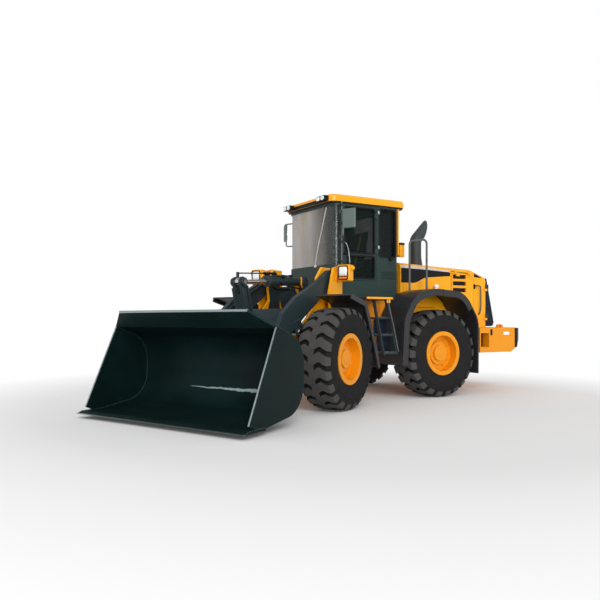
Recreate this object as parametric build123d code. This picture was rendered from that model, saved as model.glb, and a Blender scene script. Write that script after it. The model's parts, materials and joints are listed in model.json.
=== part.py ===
from build123d import *
import os
from math import atan2, cos, degrees, hypot, radians, sin

# Wheel loader, articulated in the middle, with a Z-bar linkage and a bucket of about 2.7 m3.
# All sizes are in millimetres. Each half is drawn straight ahead: +X forward, +Y left, +Z up, with the
# articulation axis at x = y = 0 and the ground at z = 0. The front half is then turned to the left.

# Running gear
STEER_REST = 26.0
HALF_WHEELBASE = 1515.0
HALF_TREAD = 1030.0
TYRE_RADIUS = 735.0
TYRE_WIDTH = 520.0
LUGS_PER_SIDE = 17
LUG_DEPTH = 45.0
LUG_WIDTH = 80.0
LUG_SLANT = 40.0
TYRE_INNER_Y = HALF_TREAD - TYRE_WIDTH / 2
RIM_SEAT_RADIUS = 318.0
RIM_FLANGE_RADIUS = 367.0
RIM_HALF_WIDTH = 236.0
RIM_LIP = 20.0
RIM_WALL = 18.0
HUB_RADIUS = 190.0
SPINDLE_RADIUS = 120.0
RUNNING_FIT = 0.3
AXLE_TUBE_RADIUS = 150.0
AXLE_BULB_RADIUS = 235.0

# Frames, as far inside the tyres as the lift arms and their towers need
RAIL_PLATE = 40.0
TOWER_PLATE_GAP = 160.0
ARM_Y = TYRE_INNER_Y - 210
RAIL_Y = ARM_Y - TOWER_PLATE_GAP / 2 - RAIL_PLATE / 2
RAIL_TOP = 1150.0
FRAME_BOTTOM = 560.0
AXLE_SADDLE_Z = 922.0
HINGE_LOWER_Z = 620.0
HINGE_UPPER_Z = 1220.0
HINGE_PIN_RADIUS = 50.0
HINGE_EAR_RADIUS = 110.0
HINGE_TONGUE = 50.0
HINGE_EAR = 30.0
HINGE_GAP = 5.0
HINGE_COLUMN = 120.0
RAIL_FRONT_X = -380.0
RAIL_REAR_X = -2720.0

# Lift arm geometry, in the straight front half
ARM_PLATE = 70.0
TOWER_TOP = 2120.0
BOOM_PIVOT = (800.0, 1960.0)
BUCKET_PIVOT = (2800.0, 400.0)
CRANK_PIVOT = (2255.0, 1095.0)
CRANK_TOP = (2480.0, 1830.0)
CRANK_FOOT = (2335.0, 560.0)
LINK_PIN = (2850.0, 650.0)
TILT_BASE = (840.0, 1920.0)
LIFT_BASE = (830.0, 1360.0)
LIFT_PIN = (1870.0, 1120.0)
CROSS_TUBE = (2030.0, 1175.0)
CROSS_TUBE_RADIUS = 95.0
PIN_RADIUS = 45.0
PIN_FIT = 1.0
CHEEK = 30.0
SIDE_PLAY = 7.0

# Bucket
BUCKET_HALF_WIDTH = 1355.0
BLADE_HALF_WIDTH = 1373.0
BUCKET_PLATE = 22.0
BUCKET_SIDE = 25.0
BLADE_THICKNESS = 34.0
BUCKET_FLOOR_Z = 58.0
BUCKET_BACK_X = 2956.0
BUCKET_DEPTH = 1259.0
BUCKET_HEIGHT = 1154.0
BLADE_TIP_X = BUCKET_BACK_X + BUCKET_DEPTH
BUCKET_NOTCH = (BUCKET_BACK_X + 0.47 * BUCKET_DEPTH, BUCKET_FLOOR_Z + BUCKET_HEIGHT)
BUCKET_LIP = (BUCKET_NOTCH[0] + 184, BUCKET_NOTCH[1] + 188)
BUCKET_LIP_INSET = 279.0
BUCKET_ROUND = 0.318 * BUCKET_DEPTH

# Cab
CAB_FLOOR_Z = 1755.0
CAB_TOP_Z = 3220.0
CAB_HEIGHT = CAB_TOP_Z - CAB_FLOOR_Z
SILL_Z = CAB_FLOOR_Z + 0.44 * CAB_HEIGHT
CAB_FRONT_X = 340.0
CAB_REAR_X = -1040.0
CAB_HALF_WIDTH = 700.0
CAB_WALL = 50.0
CAB_BASE_HALF = RAIL_Y + 140
CAB_FRONT_ROUND = 180.0
CAB_REAR_ROUND = 80.0
DOOR_FRONT_X = 158.0
DOOR_REAR_X = -560.0
DOOR_BOTTOM_Z = CAB_FLOOR_Z + 185
DOOR_TOP_Z = CAB_TOP_Z - 30
DOOR_GAP = 6.0
GLASS = 8.0
GLASS_DEPTH = 20.0
ROOF_FRONT_X = 374.0
ROOF_REAR_X = -1198.0
ROOF_HALF_WIDTH = 715.0
ROOF_TOP_Z = CAB_TOP_Z + 118

# Hood and tail
HOOD_FRONT_X = -1150.0
HOOD_CREST_X = -2900.0
HOOD_REAR_X = -3240.0
TANK_OUTER_Y = TYRE_INNER_Y - 110
HOOD_HALF_WIDTH = TANK_OUTER_Y - 40
HOOD_FRONT_TOP = 2294.0
HOOD_CREST_TOP = 2230.0
HOOD_REAR_TOP = 2110.0
HOOD_SHEET = 20.0
HOOD_ROUND = 90.0
TANK_TOP = 1740.0
TANK_BOTTOM = 1000.0
TANK_FRONT_X = -970.0
TANK_REAR_X = -2350.0
HOOD_DOOR_FRONT_X = -2375.0
HOOD_DOOR_REAR_X = -2930.0
HOOD_DOOR_BOTTOM = 1200.0
HOOD_DOOR_TOP = 2150.0
HOOD_DOOR_SHEET = 30.0
LOUVRE_HEIGHT = 75.0
LOUVRE_PITCH = 122.0
TAIL_TOP = 1155.0
TAIL_BOTTOM = 720.0
TAIL_HALF_WIDTH = 1200.0
TAIL_REAR_X = -3550.0
TAIL_CORNER_X = -3340.0
TAIL_REAR_HALF_WIDTH = 1050.0
TAIL_WING_X = -2450.0
TAIL_WING_Y = TANK_OUTER_Y + 40
TAIL_POCKET = 150.0
TOW_BORE_RADIUS = 28.0
HITCH_REACH = 60.0
HITCH_HALF_WIDTH = 180.0
HITCH_BOTTOM = TAIL_BOTTOM + 50
HITCH_TOP = TAIL_TOP - 50
TOW_PIN_X = TAIL_REAR_X
GRILLE_HALF_WIDTH = HOOD_HALF_WIDTH - 40
GRILLE_DEPTH = 225.0
ENGINE_TOP = 1780.0
STACK_X = -1880.0
STACK_Y = 200.0
STACK_RADIUS = 105.0
STACK_TIP = (-2093.0, 3071.0)
STACK_LIP = (-2018.0, 2758.0)

# Fenders and ladders
FENDER_OUTER_Y = HALF_TREAD + 250
LADDER_OUTER_Y = HALF_TREAD + 190
FENDER_SHEET = 24.0
FENDER_BEND = 450.0
FENDER_LIP = 85.0
FENDER_LIP_SHEET = 25.0
LADDER_FRONT_X = -285.0
LADDER_REAR_X = -560.0
STEP_HEIGHTS = (777.0, 1062.0, 1337.0)
DECK_TOP = 1660.0
DECK_SHEET = 45.0
RAIL_TUBE_RADIUS = 18.0

# Hinges of doors and lids: knuckles about a pin that stands off the wall
KNUCKLE_RADIUS = 16.0
KNUCKLE_PIN = 8.0
KNUCKLE_STANDOFF = 18.0
KNUCKLE_HALF = 60.0
LEAF_LENGTH = 50.0
DOOR_HINGE_X = DOOR_REAR_X + 5
HOOD_HINGE_Z = HOOD_DOOR_TOP - DOOR_GAP / 2
GRILLE_FRONT_X = HOOD_REAR_X - 5
GRILLE_FOOT_X = GRILLE_FRONT_X - GRILLE_DEPTH

# Fender lines, as (x, z) points of the sheet's middle
REAR_FENDER_LINE = ((-630, 560), (-672, 1290), (-880, 1700), (-1340, 1804), (-2000, 1755), (-2325, 1288),
                    (-2318, 370))
REAR_FENDER_LIP_END = (-2179, 1498)
FRONT_FENDER_LINE = ((1500, 1655), (1040, 1550), (700, 907), (560, 565))

# Steering cylinders, seen from above
STEER_CYLINDER_Z = 850.0
STEER_REAR_PIN = (-750.0, RAIL_Y - 160)
STEER_FRONT_PIN = (300.0, RAIL_Y - 120)

nodes = {}


def side_plate(points, middle_y, thickness):
    """A flat plate standing along the machine, drawn as (x, z) points."""
    face = make_face(Polyline(*points, close=True))
    return Pos(0, middle_y, 0) * extrude(Plane.XZ * face, amount=thickness / 2, both=True)


def cross_rod(point, radius, y_from, y_to):
    """A round bar across the machine at an (x, z) point."""
    rod = Rot(90, 0, 0) * Cylinder(radius, y_to - y_from)
    return Pos(point[0], (y_from + y_to) / 2, point[1]) * rod


def block(x, y, z):
    """A box from three (low, high) pairs."""
    centre = Pos(sum(x) / 2, sum(y) / 2, sum(z) / 2)
    return centre * Box(abs(x[1] - x[0]), abs(y[1] - y[0]), abs(z[1] - z[0]))


def bar(start, end, radius):
    """A round bar between two points in space."""
    line = Vector(*end) - Vector(*start)
    upright = Cylinder(radius, line.length, align=(Align.CENTER, Align.CENTER, Align.MIN))
    return Plane(origin=start, z_dir=line) * upright


def bent_sheet(points, radius, thickness, y_from, y_to):
    """A sheet bent along an (x, z) line and as wide as the two y values say."""
    strip = trace(FilletPolyline(*points, radius=radius), line_width=thickness)
    sheet = extrude(Plane.XZ * strip, amount=(y_to - y_from) / 2, both=True)
    return Pos(0, (y_from + y_to) / 2, 0) * sheet


def bent_tube(points, bend, radius):
    """A tube along a bent line in space."""
    path = FilletPolyline(*points, radius=bend)
    profile = Plane(origin=path @ 0, z_dir=path % 0) * Circle(radius)
    return sweep(profile, path=path)


def both_sides(shape):
    """The shape and its mirror image on the other side."""
    return shape + right_of(shape)


def right_of(shape):
    return mirror(shape, about=Plane.XZ)


def turned(shape):
    """A piece of the front half, at its place in the machine."""
    return Rot(0, 0, STEER_REST) * shape


def hinge_leaves(place, moving_depth):
    """Fixed and moving half of a hinge about the place's Z, the moving leaf toward its X."""
    back = KNUCKLE_STANDOFF + 5
    split = KNUCKLE_HALF / 3
    fixed = Cylinder(KNUCKLE_PIN, 2 * KNUCKLE_HALF)
    fixed += block((-LEAF_LENGTH, 0), (-back, 7), (split, KNUCKLE_HALF))
    fixed += Pos(0, 0, (split + KNUCKLE_HALF) / 2) * Cylinder(KNUCKLE_RADIUS, KNUCKLE_HALF - split)
    low = (-KNUCKLE_HALF, split - RUNNING_FIT)
    moving = block((0, LEAF_LENGTH), (-moving_depth, 7), low)
    moving += Pos(0, 0, sum(low) / 2) * Cylinder(KNUCKLE_RADIUS, low[1] - low[0])
    moving -= Cylinder(KNUCKLE_PIN + RUNNING_FIT, 3 * KNUCKLE_HALF)
    return place * fixed, place * moving


# Wheels

def tyre_ring(radius, y):
    """One many-sided ring of the tyre, with a side for each lug."""
    ring_plane = Plane(origin=(0, y, 0), x_dir=(1, 0, 0), z_dir=(0, 1, 0))
    sides = 2 * LUGS_PER_SIDE
    return ring_plane * RegularPolygon(radius, sides, rotation=180 / sides)


def over_flats(radius):
    """Corner radius of a ring whose flats lie at a radius."""
    return radius / cos(radians(90 / LUGS_PER_SIDE))


def lug():
    """One slanted lug on top of the tyre, from its middle to the left shoulder."""
    half = TYRE_WIDTH / 2
    outer_half = (LUG_WIDTH + LUG_SLANT) / 2
    top = (TYRE_RADIUS ** 2 - outer_half ** 2) ** 0.5
    root = TYRE_RADIUS - 2.4 * LUG_DEPTH
    foot = make_face(Polyline((-outer_half, half - 4), (outer_half - LUG_SLANT, half - 4), (outer_half, 12),
                              (LUG_SLANT - outer_half, 12), close=True))
    return Pos(0, 0, root) * extrude(foot, amount=top - root)


def tyre():
    """The tyre about the Y axis: a ring of flats with staggered lugs, standing on a lug's edge."""
    half = TYRE_WIDTH / 2
    bead = RIM_HALF_WIDTH - RIM_LIP
    tread = TYRE_RADIUS - LUG_DEPTH
    left = [(over_flats(RIM_FLANGE_RADIUS), bead), (TYRE_RADIUS - 130, half), (tread, 0.86 * half)]
    outline = left + [(radius, -y) for radius, y in reversed(left)]
    body = loft([tyre_ring(radius, y) for radius, y in outline], ruled=True)
    seat = tyre_ring(over_flats(RIM_SEAT_RADIUS), -half)
    body -= extrude(seat, amount=2 * half, dir=(0, 1, 0))
    pitch = 360 / LUGS_PER_SIDE
    left_lug = lug()
    right_lug = right_of(left_lug)
    lugs = []
    for number in range(LUGS_PER_SIDE):
        lugs.append(Rot(0, number * pitch, 0) * left_lug)
        lugs.append(Rot(0, (number + 0.5) * pitch, 0) * right_lug)
    stand = degrees(atan2((LUG_WIDTH + LUG_SLANT) / 2, TYRE_RADIUS))
    return Rot(0, stand, 0) * (body + lugs)


def ring(outer, inner, y_from, y_to):
    return cross_rod((0, 0), outer, y_from, y_to) - cross_rod((0, 0), inner, y_from - 1, y_to + 1)


def rim():
    """A deep rim with its hub, outer face toward +Y."""
    inner = RIM_SEAT_RADIUS - RIM_WALL
    lip = RIM_HALF_WIDTH - RIM_LIP
    body = ring(RIM_SEAT_RADIUS, inner, -RIM_HALF_WIDTH, RIM_HALF_WIDTH)
    body += ring(RIM_FLANGE_RADIUS, inner, lip, RIM_HALF_WIDTH)
    body += ring(RIM_FLANGE_RADIUS, inner, -RIM_HALF_WIDTH, -lip)
    body += cross_rod((0, 0), inner + 1, 60, 90)
    body += cross_rod((0, 0), HUB_RADIUS, -60, 130)
    body += cross_rod((0, 0), HUB_RADIUS - 60, 130, 165)
    return body - cross_rod((0, 0), SPINDLE_RADIUS + RUNNING_FIT, -70, 40)


def axle():
    """Axle housing across the machine at the origin, with pads under the frame."""
    body = cross_rod((0, 0), AXLE_TUBE_RADIUS, -HALF_TREAD + 290, HALF_TREAD - 290)
    body += Sphere(AXLE_BULB_RADIUS)
    for side in (-1, 1):
        inner_end = sorted((side * (HALF_TREAD - 300), side * (HALF_TREAD - 80)))
        body += cross_rod((0, 0), SPINDLE_RADIUS + 90, *inner_end)
        tip = sorted((side * (HALF_TREAD - 90), side * (HALF_TREAD + 39)))
        body += cross_rod((0, 0), SPINDLE_RADIUS, *tip)
        pad_y = (side * RAIL_Y - 70, side * RAIL_Y + 70)
        body += block((-120, 120), pad_y, (0, AXLE_SADDLE_Z - TYRE_RADIUS))
    return body


def add_wheels():
    for end, x in (("front", HALF_WHEELBASE), ("rear", -HALF_WHEELBASE)):
        for side, y in (("left", HALF_TREAD), ("right", -HALF_TREAD)):
            place = Pos(x, y, TYRE_RADIUS)
            if side == "right":
                place = place * Rot(0, 0, 180)
            pieces = {"tyre": place * tyre(), "rim": place * rim()}
            for name, shape in pieces.items():
                nodes[f"{name}_{end}_{side}"] = turned(shape) if end == "front" else shape
    nodes["front_axle"] = turned(Pos(HALF_WHEELBASE, 0, TYRE_RADIUS) * axle())
    nodes["rear_axle"] = Pos(-HALF_WHEELBASE, 0, TYRE_RADIUS) * axle()


# Frames

def hinge_plate(z_middle, thickness, reach):
    """One round-nosed plate at the articulation, running to x = reach."""
    nose = Pos(0, 0, z_middle) * Cylinder(HINGE_EAR_RADIUS, thickness)
    width = (-HINGE_EAR_RADIUS, HINGE_EAR_RADIUS)
    return nose + block(sorted((0, reach)), width, (z_middle - thickness / 2, z_middle + thickness / 2))


def steering_ears(point, plate_y, with_pin):
    """Two flat ears that hold the eye of a steering cylinder, on the inside of a side plate."""
    x, y = point
    ears = None
    for level in (-1, 1):
        z = STEER_CYLINDER_Z + level * (30 + SIDE_PLAY + CHEEK / 2)
        nose = Pos(x, y, z) * Cylinder(60, CHEEK)
        ear = nose + block((x - 60, x + 60), (y, plate_y), (z - CHEEK / 2, z + CHEEK / 2))
        ears = ear if ears is None else ears + ear
    if with_pin:
        ears += Pos(x, y, STEER_CYLINDER_Z) * Cylinder(28, 2 * (30 + SIDE_PLAY + CHEEK))
    return ears


def rear_chassis():
    axle_front = -HALF_WHEELBASE + 230
    axle_rear = -HALF_WHEELBASE - 230
    outline = [
        (RAIL_FRONT_X, RAIL_TOP),
        (RAIL_FRONT_X, 640),
        (axle_front + 110, 640),
        (axle_front, AXLE_SADDLE_Z),
        (axle_rear, AXLE_SADDLE_Z),
        (axle_rear - 110, TAIL_BOTTOM),
        (RAIL_REAR_X, TAIL_BOTTOM),
        (RAIL_REAR_X, RAIL_TOP),
    ]
    inside = RAIL_Y - RAIL_PLATE / 2
    wide = (-inside - 5, inside + 5)
    body = side_plate(outline, RAIL_Y, RAIL_PLATE) + side_plate(outline, -RAIL_Y, RAIL_PLATE)
    column_front = RAIL_FRONT_X + 120
    body += block((RAIL_FRONT_X - 60, column_front), (-HINGE_COLUMN, HINGE_COLUMN),
                  (FRAME_BOTTOM, HINGE_UPPER_Z + 60))
    body += block((RAIL_FRONT_X - 260, RAIL_FRONT_X), wide, (RAIL_TOP - 40, RAIL_TOP))
    body += block((RAIL_FRONT_X - 260, RAIL_FRONT_X), wide, (640, 680))
    body += block((-1200, -1160), wide, (700, RAIL_TOP - 40))
    body += block((-2460, -2420), wide, (TAIL_BOTTOM, RAIL_TOP - 40))
    for z in (HINGE_LOWER_Z, HINGE_UPPER_Z):
        step = HINGE_TONGUE / 2 + HINGE_GAP + HINGE_EAR / 2
        body += hinge_plate(z - step, HINGE_EAR, column_front - 10)
        body += hinge_plate(z + step, HINGE_EAR, column_front - 10)
        body += Pos(0, 0, z) * Cylinder(HINGE_PIN_RADIUS, 2 * step + HINGE_EAR)
    ears = steering_ears(STEER_REAR_PIN, inside + 5, True)
    return body + ears + right_of(ears)


def tower_plates():
    """The inner and outer plates that hold one lift arm, on the left."""
    inner = [
        (300, FRAME_BOTTOM), (300, RAIL_TOP), (640, 1420), (690, 1750), (700, TOWER_TOP),
        (950, TOWER_TOP), (1121, 1938), (1076, 1614), (1350, 1364), (1720, 1098), (1775, 997),
        (1720, AXLE_SADDLE_Z), (1290, AXLE_SADDLE_Z), (1200, FRAME_BOTTOM),
    ]
    outer = [(660, 1200), (660, TOWER_TOP + 40), (934, TOWER_TOP - 15), (1076, 1704), (1000, 1200)]
    outer_y = ARM_Y + TOWER_PLATE_GAP / 2 + RAIL_PLATE / 2
    between = (RAIL_Y, outer_y)
    body = side_plate(inner, RAIL_Y, RAIL_PLATE) + side_plate(outer, outer_y, RAIL_PLATE)
    body += block((660, 690), between, (1200, 1750))
    body += block((660, 1000), between, (1180, 1210))
    body += cross_rod(BOOM_PIVOT, PIN_RADIUS + 5, *between)
    return body + cross_rod(LIFT_BASE, PIN_RADIUS, *between)


def front_chassis():
    inside = RAIL_Y - RAIL_PLATE / 2
    wide = (-inside - 5, inside + 5)
    tower = tower_plates()
    ears = steering_ears(STEER_FRONT_PIN, inside + 5, False)
    body = tower + right_of(tower) + ears + right_of(ears)
    body += block((250, 420), (-HINGE_COLUMN, HINGE_COLUMN), (FRAME_BOTTOM, HINGE_UPPER_Z + 30))
    body += block((250, 900), wide, (RAIL_TOP - 50, RAIL_TOP))
    body += block((250, 1150), wide, (FRAME_BOTTOM, FRAME_BOTTOM + 30))
    body += block((1000, 1040), wide, (FRAME_BOTTOM, RAIL_TOP))
    body += block((1640, 1680), wide, (AXLE_SADDLE_Z + 110, 1080))
    body += block((700, 780), wide, (1660, 1840))
    for z in (HINGE_LOWER_Z, HINGE_UPPER_Z):
        tongue = hinge_plate(z, HINGE_TONGUE, 260)
        body += tongue - Pos(0, 0, z) * Cylinder(HINGE_PIN_RADIUS + PIN_FIT, 2 * HINGE_TONGUE)
    for side in (-1, 1):
        middle = side * (45 + SIDE_PLAY + CHEEK / 2)
        ear = side_plate([(720, 1700), (720, 1930), (780, 1985), (900, 1985), (900, 1860), (780, 1700)],
                         middle, CHEEK)
        body += ear
    span = 45 + SIDE_PLAY + CHEEK
    return body + cross_rod(TILT_BASE, PIN_RADIUS, -span, span)


# Lift arms, linkage and bucket

def boom():
    bx, bz = BUCKET_PIVOT
    ax, az = BOOM_PIVOT
    outline = [
        (ax + 40, az + 113), (ax + 142, az + 108), (1342, 1846), (1907, 1618), (2247, 1386),
        (2612, 819), (bx + 88, bz + 65), (bx - 83, bz - 70), (2014, 1118), (1631, 1362), (1068, 1689),
        (ax - 60, az - 102),
    ]
    arm = side_plate(outline, ARM_Y, ARM_PLATE)
    boss = TOWER_PLATE_GAP / 2 - 5
    arm += cross_rod(BOOM_PIVOT, 118, ARM_Y - boss, ARM_Y + boss)
    arm += cross_rod(BUCKET_PIVOT, 110, ARM_Y - 45, ARM_Y + 45)
    kx, kz = LIFT_PIN
    for side in (-1, 1):
        middle = ARM_Y + side * (ARM_PLATE / 2 + CHEEK / 2)
        arm += side_plate([(kx - 55, kz - 10), (kx + 60, kz - 10), (kx + 110, kz + 150), (kx - 60, kz + 190)],
                          middle, CHEEK)
        arm += cross_rod(LIFT_PIN, 62, middle - CHEEK / 2, middle + CHEEK / 2)
    arm -= cross_rod(BOOM_PIVOT, PIN_RADIUS + 5 + PIN_FIT, ARM_Y - 100, ARM_Y + 100)
    arm -= cross_rod(BUCKET_PIVOT, PIN_RADIUS + PIN_FIT, ARM_Y - 100, ARM_Y + 100)
    body = arm + right_of(arm)
    body += cross_rod(CROSS_TUBE, CROSS_TUBE_RADIUS, -ARM_Y, ARM_Y)
    cx, cz = CRANK_PIVOT
    tx, tz = CROSS_TUBE
    ear_inner = 35 + SIDE_PLAY + CHEEK + SIDE_PLAY
    for side in (-1, 1):
        middle = side * (ear_inner + CHEEK / 2)
        body += side_plate([(tx, tz + 105), (cx + 10, cz + 85), (cx - 30, cz - 85), (tx, tz - 105)],
                           middle, CHEEK)
        body += cross_rod(CRANK_PIVOT, 90, middle - CHEEK / 2, middle + CHEEK / 2)
    reach = ear_inner + CHEEK
    return body + cross_rod(CRANK_PIVOT, PIN_RADIUS, -reach, reach)


def strap(start, end, width, middle_y, thickness):
    """A flat bar with round ends between two (x, z) pins."""
    length = hypot(end[0] - start[0], end[1] - start[1])
    lean = degrees(atan2(end[1] - start[1], end[0] - start[0]))
    face = SlotCenterToCenter(length, width)
    middle = ((start[0] + end[0]) / 2, (start[1] + end[1]) / 2)
    bar_plate = extrude(Plane.XZ * Pos(*middle) * Rot(0, 0, lean) * face, amount=thickness / 2, both=True)
    return Pos(0, middle_y, 0) * bar_plate


def bellcrank():
    body = cross_rod(CRANK_PIVOT, 100, -35 - SIDE_PLAY - CHEEK, 35 + SIDE_PLAY + CHEEK)
    for side in (-1, 1):
        middle = side * (35 + SIDE_PLAY + CHEEK / 2)
        body += strap(CRANK_PIVOT, CRANK_TOP, 150, middle, CHEEK)
        body += strap(CRANK_PIVOT, CRANK_FOOT, 150, middle, CHEEK)
    return body - cross_rod(CRANK_PIVOT, PIN_RADIUS + PIN_FIT, -200, 200)


def tilt_link():
    body = strap(CRANK_FOOT, LINK_PIN, 120, 0, 70)
    return body - cross_rod(LINK_PIN, PIN_RADIUS - 10 + PIN_FIT, -100, 100)


def bucket():
    floor_front = (BLADE_TIP_X - 395, BUCKET_FLOOR_Z + 20)
    lower_corner = (BUCKET_BACK_X, BUCKET_FLOOR_Z + 138)
    upper_corner = (BUCKET_BACK_X, BUCKET_NOTCH[1] - 197)
    wrap = FilletPolyline(floor_front, lower_corner, upper_corner, BUCKET_NOTCH, radius=BUCKET_ROUND)
    shell = extrude(Plane.XZ * trace(wrap, line_width=BUCKET_PLATE), amount=BUCKET_HALF_WIDTH, both=True)
    side_front = (BLADE_TIP_X - 126, BUCKET_FLOOR_Z + 79)
    edge = Polyline(BUCKET_NOTCH, side_front, (BLADE_TIP_X - 300, BUCKET_FLOOR_Z + 5), floor_front)
    side_face = make_face([wrap, edge])
    side = extrude(Plane.XZ * side_face, amount=BUCKET_SIDE / 2, both=True)
    side_y = BUCKET_HALF_WIDTH - BUCKET_SIDE / 2
    body = shell + Pos(0, side_y, 0) * side + Pos(0, -side_y, 0) * side
    top = BUCKET_FLOOR_Z + BLADE_THICKNESS
    blade = [(BLADE_TIP_X - 415, BUCKET_FLOOR_Z), (BLADE_TIP_X, BUCKET_FLOOR_Z), (BLADE_TIP_X - 95, top),
             (BLADE_TIP_X - 415, top)]
    body += side_plate(blade, 0, 2 * BLADE_HALF_WIDTH)
    rise = Vector(BUCKET_LIP[0] - BUCKET_NOTCH[0], 0, BUCKET_LIP[1] - BUCKET_NOTCH[1])
    guard_plane = Plane(origin=(BUCKET_NOTCH[0], 0, BUCKET_NOTCH[1]), x_dir=(0, 1, 0),
                        z_dir=Vector(0, 1, 0).cross(rise))
    lip = BUCKET_HALF_WIDTH - BUCKET_LIP_INSET
    trapezium = make_face(Polyline((-BUCKET_HALF_WIDTH, -10), (BUCKET_HALF_WIDTH, -10), (lip, rise.length),
                                   (-lip, rise.length), close=True))
    body += extrude(guard_plane * trapezium, amount=BUCKET_PLATE / 2, both=True)
    inside = extrude(Plane.XZ * side_face, amount=BUCKET_HALF_WIDTH, both=True)
    bx, bz = BUCKET_PIVOT
    back = BUCKET_BACK_X
    for arm_y in (-ARM_Y, ARM_Y):
        for side_of_arm in (-1, 1):
            middle = arm_y + side_of_arm * (45 + SIDE_PLAY + CHEEK / 2)
            ear = [(bx, bz - 105), (back + 145, 235), (back + 8, 500), (back + 8, 800), (bx - 60, bz + 85)]
            body += side_plate(ear, middle, CHEEK) - inside
            body += cross_rod(BUCKET_PIVOT, 105, middle - CHEEK / 2, middle + CHEEK / 2)
        reach = 45 + SIDE_PLAY + CHEEK
        body += cross_rod(BUCKET_PIVOT, PIN_RADIUS, arm_y - reach, arm_y + reach)
    px, pz = LINK_PIN
    for side in (-1, 1):
        middle = side * (35 + SIDE_PLAY + CHEEK / 2)
        ear = [(px - 30, pz - 60), (back + 8, pz - 200), (back + 8, pz + 200), (px - 30, pz + 60)]
        body += side_plate(ear, middle, CHEEK)
        body += cross_rod(LINK_PIN, 65, middle - CHEEK / 2, middle + CHEEK / 2)
    reach = 35 + SIDE_PLAY + CHEEK
    return body + cross_rod(LINK_PIN, PIN_RADIUS - 10, -reach, reach)


def cylinder_pair(length, radii, widths, neck, mouth, closing):
    """Barrel and rod of a hydraulic cylinder along +X from the origin, its eyes about Y.

    The radii are those of barrel, rod and base pin, the widths those of base and rod eye. The barrel runs
    from neck to mouth, and the rod ends far enough from the neck to go in by its closing.
    """
    barrel_radius, rod_radius, pin_radius = radii
    base_width, eye_width = widths
    along = Rot(0, 90, 0)
    from_base = (Align.CENTER, Align.CENTER, Align.MIN)
    barrel = cross_rod((0, 0), barrel_radius, -base_width / 2, base_width / 2)
    base = (-base_width / 2, base_width / 2)
    barrel += block((0, neck + 20), base, (-barrel_radius / 2, barrel_radius / 2))
    barrel += Pos(neck, 0, 0) * along * Cylinder(barrel_radius, mouth - neck, align=from_base)
    barrel += Pos(mouth - 70, 0, 0) * along * Cylinder(barrel_radius + 8, 70, align=from_base)
    barrel -= cross_rod((0, 0), pin_radius + PIN_FIT, -base_width, base_width)
    barrel -= Pos(neck + 20, 0, 0) * along * Cylinder(rod_radius + 0.5, mouth, align=from_base)
    root = neck + 30 + closing
    rod = Pos(root, 0, 0) * along * Cylinder(rod_radius, length - root, align=from_base)
    rod += cross_rod((length, 0), rod_radius + 22, -eye_width / 2, eye_width / 2)
    return barrel, rod


def lay_in_plane(shape, start, end, y):
    """Lay a cylinder drawn along +X between two (x, z) pins at one y."""
    rise = degrees(atan2(end[1] - start[1], end[0] - start[0]))
    return Pos(start[0], y, start[1]) * Rot(0, -rise, 0) * shape


def pin_distance(start, end):
    return hypot(end[0] - start[0], end[1] - start[1])


def add_cylinders():
    lift = cylinder_pair(pin_distance(LIFT_BASE, LIFT_PIN), (65, 33, PIN_RADIUS), (140, 60), 90, 935, 27)
    for name, y in (("left", ARM_Y), ("right", -ARM_Y)):
        nodes[f"lift_barrel_{name}"] = turned(lay_in_plane(lift[0], LIFT_BASE, LIFT_PIN, y))
        nodes[f"lift_rod_{name}"] = turned(lay_in_plane(lift[1], LIFT_BASE, LIFT_PIN, y))
    tilt = cylinder_pair(pin_distance(TILT_BASE, CRANK_TOP), (70, 36, PIN_RADIUS), (90, 70), 130, 950, 510)
    nodes["tilt_barrel"] = turned(lay_in_plane(tilt[0], TILT_BASE, CRANK_TOP, 0))
    nodes["tilt_rod"] = turned(lay_in_plane(tilt[1], TILT_BASE, CRANK_TOP, 0))
    turn = radians(STEER_REST)
    for name, side, closing in (("left", 1, 75), ("right", -1, 402)):
        base = (STEER_REAR_PIN[0], side * STEER_REAR_PIN[1])
        fx, fy = STEER_FRONT_PIN[0], side * STEER_FRONT_PIN[1]
        eye = (fx * cos(turn) - fy * sin(turn), fx * sin(turn) + fy * cos(turn))
        lean = degrees(atan2(eye[1] - base[1], eye[0] - base[0]))
        barrel, rod = cylinder_pair(pin_distance(base, eye), (42, 25, 28), (60, 60), 85, 610, closing)
        place = Pos(base[0], base[1], STEER_CYLINDER_Z) * Rot(0, 0, lean) * Rot(90, 0, 0)
        nodes[f"steer_barrel_{name}"] = place * barrel
        nodes[f"steer_rod_{name}"] = place * rod


# Cab

def cab_prism(inset, z_from, z_to):
    """The cab's plan, drawn in by an inset, as a prism."""
    x_from, x_to = CAB_REAR_X + inset, CAB_FRONT_X - inset
    half = CAB_HALF_WIDTH - inset
    rear_round = max(CAB_REAR_ROUND - inset, 20)
    front_round = CAB_FRONT_ROUND - inset
    outline = FilletPolyline((x_from, half), (x_to, half), (x_to, -half), (x_from, -half), close=True,
                             radius=(rear_round, front_round, front_round, rear_round))
    return Pos(0, 0, z_from) * extrude(make_face(outline), amount=z_to - z_from)


SIDE_OUT = (CAB_HALF_WIDTH - 150, CAB_HALF_WIDTH + 50)
SIDE_IN = (-CAB_HALF_WIDTH - 50, -CAB_HALF_WIDTH + 150)


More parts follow.
